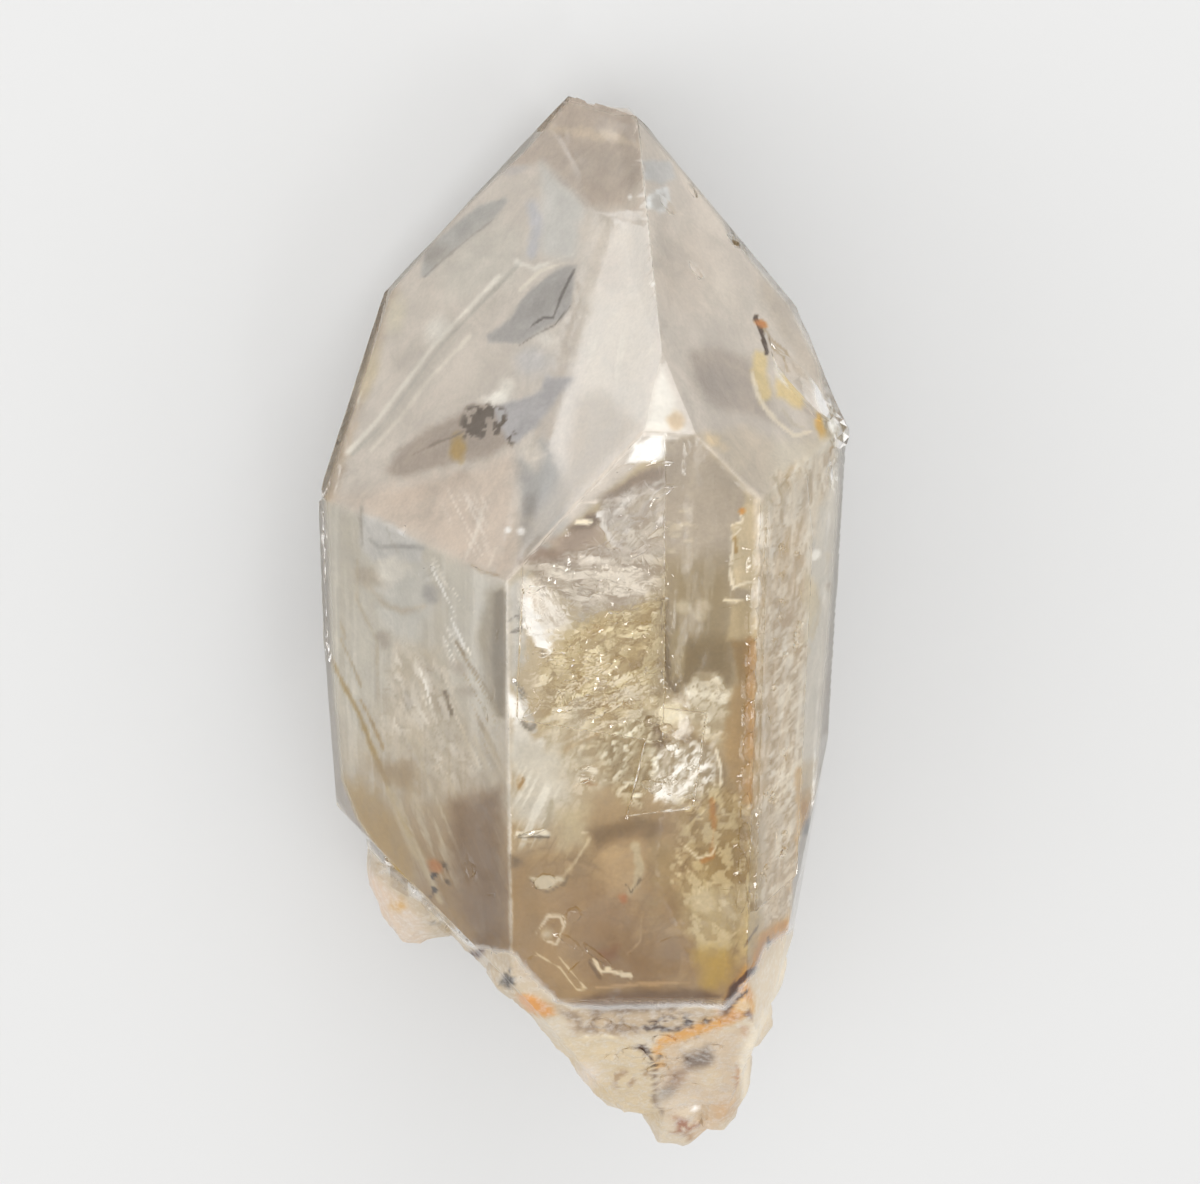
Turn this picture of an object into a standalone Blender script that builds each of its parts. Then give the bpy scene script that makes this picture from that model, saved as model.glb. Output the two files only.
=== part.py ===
"""A natural quartz crystal with liquid-filled cavities, lying on its back prism face.

Metres, +Z up. The growth axis c runs along Y with the tip at +Y, the broad front prism
face looks up, and the crystal rests on the prism face opposite to it. Every crystal face
and every break at the root is a plane, given by a turn about the growth axis (0 is
straight up, positive towards +X), a lean away from the tip and a distance from the
crystal's heart, a point on the growth axis. Sizes in the tables are millimetres. The
origin ends up at the centre of the bottom of the bounding box.
"""
import math
import random

import bmesh
import bpy
from mathutils import Matrix, Vector, noise

MM = 0.001
NODE = "crystal"

# The heart lies on the growth axis, this high above the face the crystal lies on.
HEART_HEIGHT = 12.19
HEART = Vector((0.0, 0.0, HEART_HEIGHT))

# Where the foot of the heart stands, from the middle of the bounding box's underside.
FOOT = Vector((-0.18, 8.11, 0.0))

# The raw block, from which the faces are cleft, is well larger than the crystal.
BLOCK_RADIUS = 40.0
BLOCK_LENGTH = 120.0

# Crystal faces: turn, lean (degrees) and distance from the heart (mm).
FACES = {
    "front": (0.43, 91.75, 12.09),
    "front_left": (-59.42, 92.51, 10.20),
    "front_right": (59.46, 90.18, 12.90),
    "back_right": (118.85, 91.57, 10.98),
    "back_left": (-119.30, 90.99, 13.06),
    "rest": (180.0, 90.0, HEART_HEIGHT),
    "tip_left": (-60.06, 53.72, 8.11),
    "tip_front": (3.88, 49.68, 14.37),
    "tip_right": (56.47, 51.19, 12.84),
    "tip_back_right": (120.25, 56.11, 14.85),
    "tip_back_left": (-120.06, 51.32, 15.95),
    "tip_back": (180.0, 51.79, 19.60),
}

# Breaks at the root: the same three values.
BREAKS = {
    "root_left": (-70.7, 128.3, 19.65),
    "root_shelf": (-62.9, 96.1, 11.26),
    "root_right": (74.1, 107.4, 18.9),
    "root_right_low": (73.4, 97.1, 15.05),
    "root_front": (-1.2, 122.5, 22.1),
    "root_end": (20.0, 168.0, 33.3),
    "root_under": (178.0, 130.5, 24.2),
}
PLANES = {**FACES, **BREAKS}

# A growth layer keeps this far inside the faces that it doesn't raise.
LAYER_INSET = 0.03

# Growth layers, each a step up on one face: the face, how thick the layer is, and the
# planes that end it, as a point on the plane and the direction that is cut away.
LAYERS = (
    ("front_right", 0.30, (((11.3, 1.2, 18.9), (0.80, 0.30, -0.52)),
                           ((11.3, -6.0, 18.4), (0.83, 0.0, -0.56)),
                           ((9.5, -18.6, 21.0), (0.10, -0.98, 0.1)))),
    ("front", 0.13, (((3.25, -2.0, 24.0), (1.0, 0.03, 0.0)),
                     ((0.0, -8.2, 24.0), (-0.18, -0.98, 0.0)),
                     ((-3.9, 0.0, 24.0), (-1.0, 0.02, 0.0)))),
    ("front", 0.10, (((5.3, -10.0, 24.0), (1.0, -0.1, 0.0)),
                     ((2.2, -10.0, 24.0), (-1.0, 0.2, 0.0)),
                     ((4.0, -7.0, 24.0), (0.15, 0.98, 0.0)),
                     ((4.0, -12.6, 24.0), (0.1, -0.98, 0.0)))),
)

# Rough lumps grown on the root and the side: centre, half sizes (mm), turn about the
# upright and roughness as a share of the size.
LUMPS = (
    # the milky root tip and its scalloped left rim
    ((4.5, -30.4, 13.2), (4.5, 4.6, 4.6), 20, 0.14),
    ((6.3, -33.2, 14.0), (2.6, 3.1, 3.3), -15, 0.18),
    ((1.2, -27.4, 16.4), (2.3, 2.1, 3.0), 30, 0.18),
    ((2.3, -30.0, 15.6), (1.9, 2.0, 2.5), 40, 0.22),
    ((4.1, -31.9, 15.0), (1.8, 1.7, 2.3), 10, 0.22),
    ((8.2, -31.6, 15.4), (1.7, 3.2, 2.6), -6, 0.18),
    ((5.4, -28.6, 17.0), (2.4, 1.6, 1.5), 8, 0.22),
    # the thin scalloped flange on the right of the root
    ((10.0, -26.6, 13.2), (1.8, 3.0, 3.2), -20, 0.20),
    ((9.6, -28.9, 13.8), (1.6, 1.9, 2.5), -10, 0.22),
    ((10.3, -24.0, 13.4), (1.7, 2.2, 3.6), 0, 0.18),
    # the flange under the lower left break
    ((-3.1, -22.8, 19.7), (1.9, 2.0, 2.0), -40, 0.14),
    ((-1.2, -24.8, 18.5), (1.6, 1.9, 2.0), -30, 0.16),
    # the milky nub low at the back left
    ((-7.8, -24.1, 4.8), (2.9, 3.8, 4.2), 15, 0.16),
    ((-9.1, -20.8, 6.4), (1.8, 2.6, 2.8), 0, 0.20),
    ((-4.6, -25.3, 4.6), (3.4, 2.6, 3.6), 0, 0.18),
    # the underside of the root
    ((3.2, -26.4, 8.4), (5.4, 3.6, 5.6), 0, 0.14),
    # the small knob at the right shoulder
    ((12.95, 4.6, 14.9), (0.85, 0.95, 1.0), 35, 0.08),
)

# Chips and conchoidal hollows: centre, half sizes (mm), turn about the upright.
CHIPS = (
    # the nicked ridge at the very tip
    ((0.95, 20.0, 4.9), (0.42, 0.36, 1.0), 10),
    ((1.9, 20.3, 6.2), (0.5, 0.55, 0.7), 30),
    ((2.75, 20.15, 7.6), (0.45, 0.5, 0.8), 0),
    ((-0.35, 20.1, 3.0), (0.35, 0.35, 0.6), 0),
    # two chipped pits and nicks beside the edge between the left and right tip faces
    ((3.15, 18.2, 11.2), (0.30, 0.36, 0.30), 0),
    ((4.45, 16.0, 12.15), (0.62, 0.72, 0.32), 25),
    ((5.65, 13.1, 14.45), (0.42, 0.62, 0.26), 35),
    ((6.0, 16.2, 9.6), (0.35, 0.55, 0.35), 30),
    ((8.1, 13.5, 9.8), (0.35, 0.6, 0.35), 30),
    # the shell-shaped hollow above the knob
    ((11.3, 7.2, 14.5), (1.7, 2.5, 0.9), 28),
    # nicks on the left shoulder and along the front left edge
    ((-9.5, -0.1, 16.2), (0.45, 0.3, 0.4), 0),
    ((-13.55, -0.3, 9.5), (0.35, 0.35, 0.5), 0),
    ((-4.2, -12.6, 24.2), (0.28, 0.9, 0.28), 0),
    ((-4.0, -17.4, 24.1), (0.24, 0.7, 0.24), 0),
    ((12.8, 2.6, 16.0), (0.35, 0.9, 0.5), 10),
    # shallow scoops that the break left at the root's left side and underside
    ((-10.2, -22.3, 12.6), (2.2, 2.4, 3.0), 40),
    ((-6.4, -26.3, 14.0), (1.9, 2.2, 2.4), 40),
    ((-4.3, -29.8, 10.6), (2.4, 2.4, 2.8), 40),
    ((1.0, -30.3, 4.6), (3.2, 2.8, 2.4), 0),
    ((-3.4, -27.6, 2.0), (2.4, 2.2, 1.9), 0),
)

CHIP_ROUGHNESS = 0.25

# Etched growth hillocks that stand alone: face, x, y, how far the surface is raised
# there, half sizes along and across, height, turn (degrees).
HILLOCKS = (
    ("front", -2.4, -16.4, 0.0, 0.75, 0.45, 0.18, 0),
    ("front", -3.2, -13.7, 0.0, 0.85, 0.16, 0.14, 3),
    ("front", -0.5, -10.2, 0.0, 0.42, 0.15, 0.13, 12),
    ("front", -0.5, -10.9, 0.0, 0.42, 0.14, 0.13, 8),
    ("front", -1.0, -19.9, 0.0, 0.26, 1.10, 0.14, 38),
    ("front", 0.3, -20.6, 0.0, 0.20, 1.20, 0.12, 36),
    ("front", -0.9, -18.4, 0.0, 0.55, 0.60, 0.14, 0),
    ("front", 6.3, -6.0, 0.0, 0.22, 0.34, 0.14, 0),
    ("front_left", -6.0, -17.1, 0.0, 0.60, 0.40, 0.16, 0),
    ("front_left", -8.2, -1.6, 0.0, 0.30, 1.10, 0.12, 25),
)

# Fields of hillocks, as growth and etching left them: face, x range, y range, how far the
# surface is raised there, how many, largest half sizes along and across, height.
FIELDS = (
    ("front", (-3.4, 3.1), (-7.4, 6.6), 0.13, 40, 0.80, 0.26, 0.20),
    ("front", (2.4, 5.0), (-12.0, -7.4), 0.10, 12, 0.50, 0.34, 0.20),
    ("front_right", (8.2, 10.8), (-16.6, 1.6), 0.30, 24, 0.30, 0.42, 0.22),
    ("root_front", (-0.5, 8.0), (-30.5, -24.6), 0.0, 12, 0.80, 0.60, 0.24),
    ("root_left", (-9.5, -3.5), (-24.0, -19.5), 0.0, 10, 0.60, 0.60, 0.26),
)

# The low rib that stands along the edge between the front and front right faces.
RIB = {"x": 7.75, "start": 1.6, "end": -18.4, "beads": 12, "half_width": 0.34, "height": 0.26}

SEED = 7


def clear_scene():
    """Remove every object the file opened with."""
    for obj in list(bpy.data.objects):
        bpy.data.objects.remove(obj, do_unlink=True)


def new_collection(name):
    """Add a collection to the scene."""
    collection = bpy.data.collections.new(name)
    bpy.context.scene.collection.children.link(collection)
    return collection


def make_material(name, color, roughness):
    """Return a Principled material for a dielectric stone."""
    material = bpy.data.materials.new(name)
    material.use_nodes = True
    shader = material.node_tree.nodes["Principled BSDF"]
    shader.inputs["Base Color"].default_value = (*color, 1.0)
    shader.inputs["Roughness"].default_value = roughness
    shader.inputs["Metallic"].default_value = 0.0
    return material


def add_object(name, bm, collection, parent, cutter=False):
    """Turn a millimetre bmesh into a mesh object in metres."""
    bm.transform(Matrix.Scale(MM, 4))
    mesh = bpy.data.meshes.new(name)
    bm.to_mesh(mesh)
    bm.free()
    obj = bpy.data.objects.new(name, mesh)
    obj.parent = parent
    collection.objects.link(obj)
    if cutter:
        obj.hide_render = True
        obj.display_type = "WIRE"
    return obj


def plane_of(turn, lean, distance):
    """Return a point on the plane and its outward direction."""
    turn, lean = math.radians(turn), math.radians(lean)
    normal = Vector((math.sin(turn) * math.sin(lean), math.cos(lean),
                     math.cos(turn) * math.sin(lean)))
    return HEART + normal * distance, normal


def cleave(bm, point, normal):
    """Cut away what lies beyond a plane and close the cut."""
    geometry = bm.verts[:] + bm.edges[:] + bm.faces[:]
    cut = bmesh.ops.bisect_plane(bm, geom=geometry, plane_co=point, plane_no=normal,
                                 clear_outer=True, dist=1e-6)
    rim = [item for item in cut["geom_cut"] if isinstance(item, bmesh.types.BMEdge)]
    if rim:
        bmesh.ops.holes_fill(bm, edges=rim, sides=0)


def crystal_form(raised=None, rise=0.0, ends=()):
    """Return the faceted crystal, or a layer of it with one face raised and ends cut off."""
    bm = bmesh.new()
    upright_to_axis = Matrix.Rotation(math.radians(-90.0), 4, "X")
    bmesh.ops.create_cone(bm, cap_ends=True, segments=6, radius1=BLOCK_RADIUS,
                          radius2=BLOCK_RADIUS, depth=BLOCK_LENGTH, matrix=upright_to_axis)
    inset = LAYER_INSET if raised else 0.0
    for name, (turn, lean, distance) in PLANES.items():
        outwards = rise if name == raised else -inset
        cleave(bm, *plane_of(turn, lean, distance + outwards))
    for point, normal in ends:
        cleave(bm, Vector(point), Vector(normal).normalized())
    bmesh.ops.recalc_face_normals(bm, faces=bm.faces)
    return bm


def rough_lump(centre, half_sizes, turn, roughness, rng, subdivisions=2):
    """Return an icosphere stretched to its half sizes and roughened by smooth noise."""
    bm = bmesh.new()
    bmesh.ops.create_icosphere(bm, subdivisions=subdivisions, radius=1.0)
    shift = Vector([rng.uniform(-50.0, 50.0) for _ in range(3)])
    for vert in bm.verts:
        swell = noise.noise(vert.co * 1.6 + shift) + 0.5 * noise.noise(vert.co * 3.7 + shift)
        vert.co *= 1.0 + roughness * swell
    place = (Matrix.Translation(Vector(centre))
             @ Matrix.Rotation(math.radians(turn), 4, "Z")
             @ Matrix.Diagonal((*half_sizes, 1.0)))
    bm.transform(place)
    return bm


def point_on_face(name, x, y):
    """Return the point of a plane that lies above the given x and y, and its normal."""
    point, normal = plane_of(*PLANES[name])
    z = point.z - (normal.x * (x - point.x) + normal.y * (y - point.y)) / normal.z
    return Vector((x, y, z)), normal


def is_on_crystal(point, margin):
    """Say whether a point lies inside every face and break, or no more than the margin out."""
    for values in PLANES.values():
        on_plane, normal = plane_of(*values)
        if (point - on_plane).dot(normal) > margin:
            return False
    return True


def hillock(face, x, y, raised, half_along, half_across, height, turn, rng):
    """Return a flattened grain that sits half sunk in a face."""
    centre, normal = point_on_face(face, x, y)
    centre += normal * raised
    bm = bmesh.new()
    bmesh.ops.create_icosphere(bm, subdivisions=1, radius=1.0)
    for vert in bm.verts:
        vert.co *= 1.0 + 0.18 * rng.uniform(-1.0, 1.0)
    stand = normal.to_track_quat("Z", "Y").to_matrix().to_4x4()
    place = (Matrix.Translation(centre) @ stand
             @ Matrix.Rotation(math.radians(turn), 4, "Z")
             @ Matrix.Diagonal((half_along, half_across, height, 1.0)))
    bm.transform(place)
    return bm


def field_hillocks(rng):
    """Yield the hillocks of every field, each at its own place, size and slant."""
    for face, x_range, y_range, raised, count, along, across, height in FIELDS:
        for _ in range(count):
            x, y = rng.uniform(*x_range), rng.uniform(*y_range)
            size = rng.uniform(0.45, 1.0)
            turn = rng.uniform(-20.0, 20.0)
            if is_on_crystal(point_on_face(face, x, y)[0], 0.01):
                yield hillock(face, x, y, raised, along * size, across * size,
                              height * size, turn, rng)


def rib_beads(rng):
    """Yield the beads that make the rib along the front right edge."""
    step = (RIB["end"] - RIB["start"]) / RIB["beads"]
    for index in range(RIB["beads"]):
        y = RIB["start"] + (index + 0.5) * step
        centre, _ = point_on_face("front", RIB["x"], y)
        centre.z -= 0.05
        half = (RIB["half_width"] * rng.uniform(0.8, 1.15), abs(step) * 0.62,
                RIB["height"] * rng.uniform(0.8, 1.2))
        yield rough_lump(centre, half, rng.uniform(-4.0, 4.0), 0.12, rng, subdivisions=1)


def add_boolean(obj, name, operation, operands):
    """Give the object a live Boolean with every object of a collection."""
    modifier = obj.modifiers.new(name, "BOOLEAN")
    modifier.operation = operation
    modifier.operand_type = "COLLECTION"
    modifier.collection = operands
    modifier.solver = "EXACT"


def build():
    """Make the crystal and stand it on the origin."""
    clear_scene()
    parts = new_collection("enhydro_quartz_crystal")
    growths = new_collection("growths")
    chips = new_collection("chips")
    rng = random.Random(SEED)

    foot = bpy.data.objects.new("foot_of_heart", None)
    foot.location = FOOT * MM
    parts.objects.link(foot)

    crystal = add_object(NODE, crystal_form(), parts, foot)
    crystal.data.materials.append(make_material("clear_quartz", (0.86, 0.83, 0.78), 0.08))

    for index, (face, thickness, ends) in enumerate(LAYERS):
        layer = crystal_form(face, thickness, ends)
        add_object(f"layer_{index + 1}", layer, growths, foot, cutter=True)
    for index, (centre, half, turn, rough) in enumerate(LUMPS):
        detail = 3 if max(half) > 4.0 else 2
        lump = rough_lump(centre, half, turn, rough, rng, detail)
        add_object(f"lump_{index + 1}", lump, growths, foot, cutter=True)
    grains = [hillock(*values, rng) for values in HILLOCKS]
    grains += list(field_hillocks(rng)) + list(rib_beads(rng))
    for index, grain in enumerate(grains):
        add_object(f"grain_{index + 1}", grain, growths, foot, cutter=True)

    for index, (centre, half, turn) in enumerate(CHIPS):
        detail = 2 if max(half) > 2.0 else 1
        chip = rough_lump(centre, half, turn, CHIP_ROUGHNESS, rng, detail)
        add_object(f"chip_{index + 1}", chip, chips, foot, cutter=True)

    add_boolean(crystal, "grow", "UNION", growths)
    add_boolean(crystal, "chip", "DIFFERENCE", chips)


build()
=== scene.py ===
"""The looks of a natural quartz crystal that lies on its back prism face.

Metres, +Z up. The crystal's growth axis runs along Y, with the tip at +Y.
"""
import math

import bmesh
import bpy
import numpy as np
from mathutils import Euler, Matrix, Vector


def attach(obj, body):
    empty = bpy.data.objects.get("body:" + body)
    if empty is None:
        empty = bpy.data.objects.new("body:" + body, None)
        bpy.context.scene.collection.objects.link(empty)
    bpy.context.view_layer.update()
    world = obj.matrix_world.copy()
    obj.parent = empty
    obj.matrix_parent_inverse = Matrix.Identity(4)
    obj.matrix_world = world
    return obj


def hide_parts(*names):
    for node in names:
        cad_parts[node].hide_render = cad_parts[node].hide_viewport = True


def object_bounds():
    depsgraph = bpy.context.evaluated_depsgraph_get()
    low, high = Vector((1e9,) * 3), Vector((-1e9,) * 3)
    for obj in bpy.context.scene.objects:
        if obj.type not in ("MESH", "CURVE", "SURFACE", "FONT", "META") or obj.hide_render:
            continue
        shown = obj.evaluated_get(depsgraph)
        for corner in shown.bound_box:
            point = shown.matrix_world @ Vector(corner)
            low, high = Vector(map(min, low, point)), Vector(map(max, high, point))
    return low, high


MM = 0.001

# The crystal's foot, under its growth axis, in millimetres.
FOOT = np.array([-0.18, 8.11, 0.0])

# Each natural face: the way it looks, and how far it is from the foot, in millimetres.
FACES = {
    "left": ((-0.8601, -0.0437, 0.5082), 16.39),
    "front": ((0.0074, -0.0306, 0.9995), 24.27),
    "right": ((0.8613, -0.0032, 0.5081), 19.089),
    "back_right": ((0.8755, -0.0273, -0.4824), 5.101),
    "rest": ((0.0, 0.0, -1.0), 0.0),
    "back_left": ((-0.8719, -0.0173, -0.4894), 7.099),
    "tip_left": ((-0.6985, 0.5918, 0.4024), 13.019),
    "tip_front": ((0.0516, 0.6471, 0.7607), 23.643),
    "tip_right": ((0.6496, 0.6268, 0.4304), 18.087),
    "tip_back_right": ((0.7171, 0.5576, -0.4182), 9.751),
    "tip_back": ((0.0, 0.6183, -0.7860), 9.54),
    "tip_back_left": ((-0.6757, 0.6249, -0.391), 11.185),
}
NORMALS = np.array([face[0] for face in FACES.values()])
NORMALS /= np.linalg.norm(NORMALS, axis=1)[:, None]
REACHES = np.array([face[1] for face in FACES.values()])

QUARTZ_IOR = 1.544

# The camera of the photograph, in millimetres and degrees, and its frame in pixels.
CAMERA_AT = np.array([-18.49, 64.13, 187.65])
CAMERA_TURN = (-19.185, -5.922, 1.357)
CAMERA_LENS = 105.94
CAMERA_FILM = 36.0
FRAME_WIDE, FRAME_HIGH = 1200, 1184
FOCUS = CAMERA_LENS / CAMERA_FILM * FRAME_WIDE
CAMERA_AXES = np.array(Euler([math.radians(turn) for turn in CAMERA_TURN]).to_matrix())

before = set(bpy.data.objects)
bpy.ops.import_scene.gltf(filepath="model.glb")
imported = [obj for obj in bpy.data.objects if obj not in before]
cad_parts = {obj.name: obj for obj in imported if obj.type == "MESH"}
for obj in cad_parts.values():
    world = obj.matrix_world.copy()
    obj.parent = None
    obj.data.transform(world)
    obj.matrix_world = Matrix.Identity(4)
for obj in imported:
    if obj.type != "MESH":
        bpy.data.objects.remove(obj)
cad_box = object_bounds()


# Places: the photograph's pixels and the crystal's faces

def to_pixel(points):
    """Carry points in millimetres to pixels: the camera's pinhole projection."""
    seen = (points - CAMERA_AT) @ CAMERA_AXES
    return np.stack([FRAME_WIDE / 2 - FOCUS * seen[..., 0] / seen[..., 2],
                     FRAME_HIGH / 2 + FOCUS * seen[..., 1] / seen[..., 2]], axis=-1)


def sight(u, v):
    """The unit direction in which the camera looks through each pixel."""
    ray = np.stack([u - FRAME_WIDE / 2, FRAME_HIGH / 2 - v,
                    np.full_like(u, -FOCUS)], axis=-1) @ CAMERA_AXES.T
    return ray / np.linalg.norm(ray, axis=-1, keepdims=True)


def beneath(u, v, depth, faces=None):
    """Points inside the quartz that the camera sees through each pixel.

    The line of sight enters at the last of the near faces that it meets, is bent by
    Snell's law, and goes on until it is `depth` millimetres under that face, or less
    where two faces meet, so that sheets close up along the crystal's edges.
    """
    u, v = np.broadcast_arrays(np.asarray(u, float), np.asarray(v, float))
    look = sight(u, v)
    names = list(FACES) if faces is None else list(faces)
    rows = [list(FACES).index(name) for name in names]
    normals, reaches = NORMALS[rows], REACHES[rows]
    facing = look @ normals.T
    way = (reaches - (CAMERA_AT - FOOT) @ normals.T) / np.minimum(facing, -1e-4)
    way = np.where(facing < -0.02, way, -1e9)
    hit = way.argmax(axis=-1)
    normal = normals[hit]
    entry = CAMERA_AT + look * np.take_along_axis(way, hit[..., None], -1)
    against = -(look * normal).sum(-1, keepdims=True)
    squeeze = 1.0 / QUARTZ_IOR
    inner = np.sqrt(1.0 - squeeze ** 2 * (1.0 - against ** 2))
    bent = squeeze * look + (squeeze * against - inner) * normal
    nearest = np.partition(way, -2, axis=-1)
    corner = ease(nearest[..., -1] - nearest[..., -2], 0.0, 3.0)
    depth = (np.broadcast_to(np.asarray(depth, float), u.shape)
             * (0.12 + 0.88 * corner))[..., None]
    return entry + bent * depth / inner


# Soft fields: noise and masks, as whole arrays

def lattice(cells, seed):
    """A steady number from 0 to 1 for each whole-number cell, by mixing its bits."""
    mixed = (cells.astype(np.int64) * np.array([73856093, 19349663, 83492791][
        :cells.shape[-1]])).sum(-1) + seed * 2654435761
    mixed = (mixed ^ (mixed >> 13)) * 1274126177 & 0xFFFFFFFF
    mixed = (mixed ^ (mixed >> 16)) * 668265263 & 0xFFFFFFFF
    return ((mixed ^ (mixed >> 15)) & 0xFFFFFF) / float(0x1000000)


def ripple(points, seed=0, octaves=3, fall=0.5):
    """Smooth noise from -1 to 1: lattice numbers eased between cells, in octaves."""
    points = np.asarray(points, float)
    total, weight, reach = 0.0, 1.0, 0.0
    for octave in range(octaves):
        spot = points * 2.0 ** octave + 17.3 * octave
        cell = np.floor(spot)
        part = spot - cell
        ease = part * part * (3.0 - 2.0 * part)
        value = 0.0
        for corner in range(2 ** points.shape[-1]):
            pick = np.array([corner >> axis & 1 for axis in range(points.shape[-1])])
            share = np.prod(np.where(pick, ease, 1.0 - ease), axis=-1)
            value = value + share * lattice(cell + pick, seed + 31 * octave)
        total = total + weight * (2.0 * value - 1.0)
        reach += weight
        weight *= fall
    return total / reach * 1.6


def ease(value, low, high):
    """Smoothstep from 0 at low to 1 at high, whichever of them is larger."""
    part = np.clip((value - low) / (high - low), 0.0, 1.0)
    return part * part * (3.0 - 2.0 * part)


class Canvas:
    """Colour and cover over a set of pixels, laid on as one soft mark after another."""

    def __init__(self, u, v, colour, cover):
        self.u, self.v = u, v
        self.colour = np.broadcast_to(np.array(colour, float), (*u.shape, 3)).copy()
        self.cover = np.full(u.shape, float(cover))
        self.wander = ripple(np.stack([u, v], -1) / 26.0, 3, 4)
        self.grain = ripple(np.stack([u, v], -1) / 7.0, 9, 3)

    def lay(self, mask, colour, cover=None):
        """Mix a colour in by a mask, and draw the cover towards its own cover."""
        self.colour += mask[..., None] * (np.asarray(colour, float) - self.colour)
        if cover is not None:
            self.cover += mask * (cover - self.cover)

    def spot(self, middle, radii, turn=0.0, soft=0.5, ragged=0.15):
        """A soft oval: eased distance from its middle, bent by the wandering noise."""
        cos, sin = math.cos(math.radians(turn)), math.sin(math.radians(turn))
        x, y = self.u - middle[0], self.v - middle[1]
        far = np.hypot((x * cos + y * sin) / radii[0], (y * cos - x * sin) / radii[1])
        far = far + ragged * self.wander + 0.5 * ragged * self.grain
        return 1.0 - ease(far, 1.0 - soft, 1.0 + soft)

    def patch(self, corners, soft=4.0, ragged=2.0):
        """A soft many-sided patch: eased signed distance from its outline."""
        corners = np.array(corners, float)
        inside = np.zeros(self.u.shape, bool)
        far = np.full(self.u.shape, 1e9)
        for a, b in zip(corners, np.roll(corners, -1, axis=0)):
            run = b - a
            x, y = self.u - a[0], self.v - a[1]
            part = np.clip((x * run[0] + y * run[1]) / (run @ run), 0.0, 1.0)
            far = np.minimum(far, np.hypot(x - part * run[0], y - part * run[1]))
            if a[1] != b[1]:
                inside ^= ((a[1] > self.v) != (b[1] > self.v)) & (
                    self.u < a[0] + (self.v - a[1]) * run[0] / run[1])
        far = np.where(inside, far, -far) + ragged * (self.wander + 0.6 * self.grain)
        return ease(far, -soft, soft)

    def stroke(self, points, width, soft=2.0, ragged=0.5):
        """A soft line along points: eased distance from the nearest stretch."""
        points = np.array(points, float)
        far = np.full(self.u.shape, 1e9)
        for a, b in zip(points[:-1], points[1:]):
            run = b - a
            x, y = self.u - a[0], self.v - a[1]
            part = np.clip((x * run[0] + y * run[1]) / (run @ run), 0.0, 1.0)
            far = np.minimum(far, np.hypot(x - part * run[0], y - part * run[1]))
        far = far + ragged * (self.wander + self.grain)
        return 1.0 - ease(far, width / 2 - soft / 2, width / 2 + soft / 2)

    def facets(self, along, across, turn, seed):
        """A painted light and shade from 0 to 1 for each small facet of a broken surface, as
        each facet catches the light at its own tilt, over its own tone.

        The pixels are turned and squeezed, each cell holds one seed point, and a pixel
        takes the shade of its nearest seed, darker close to the next one.
        """
        cos, sin = math.cos(math.radians(turn)), math.sin(math.radians(turn))
        x = (self.u * cos + self.v * sin) / along + 0.35 * self.wander
        y = (self.v * cos - self.u * sin) / across + 0.5 * self.wander
        cell = np.floor(np.stack([x, y], -1))
        first = np.full(self.u.shape, 9.0)
        second, shade = first.copy(), first * 0.0
        for step in np.array([(i, j) for i in (-1, 0, 1) for j in (-1, 0, 1)]):
            near = cell + step
            far = np.hypot(near[..., 0] + lattice(near, seed) - x,
                           near[..., 1] + lattice(near, seed + 5) - y)
            closer = far < first
            second = np.where(closer, first, np.minimum(second, far))
            shade = np.where(closer, lattice(near, seed + 9), shade)
            first = np.where(closer, far, first)
        # Painted light and shade: each facet lighter or darker by its tilt to the light.
        tilt_light = 0.25 * np.sin(6.3 * shade + 2.2 * x + 1.7 * y)
        return np.clip(0.1 + 0.8 * shade + tilt_light, 0, 1) * ease(second - first, -0.05, 0.22)

    def streaks(self, along, across, turn, seed, low=0.1, high=0.5):
        """Noise drawn out along a direction, as thin streaks from 0 to 1."""
        cos, sin = math.cos(math.radians(turn)), math.sin(math.radians(turn))
        x, y = self.u * cos + self.v * sin, self.v * cos - self.u * sin
        return ease(ripple(np.stack([x / along, y / across], -1), seed, 3), low, high)
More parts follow.
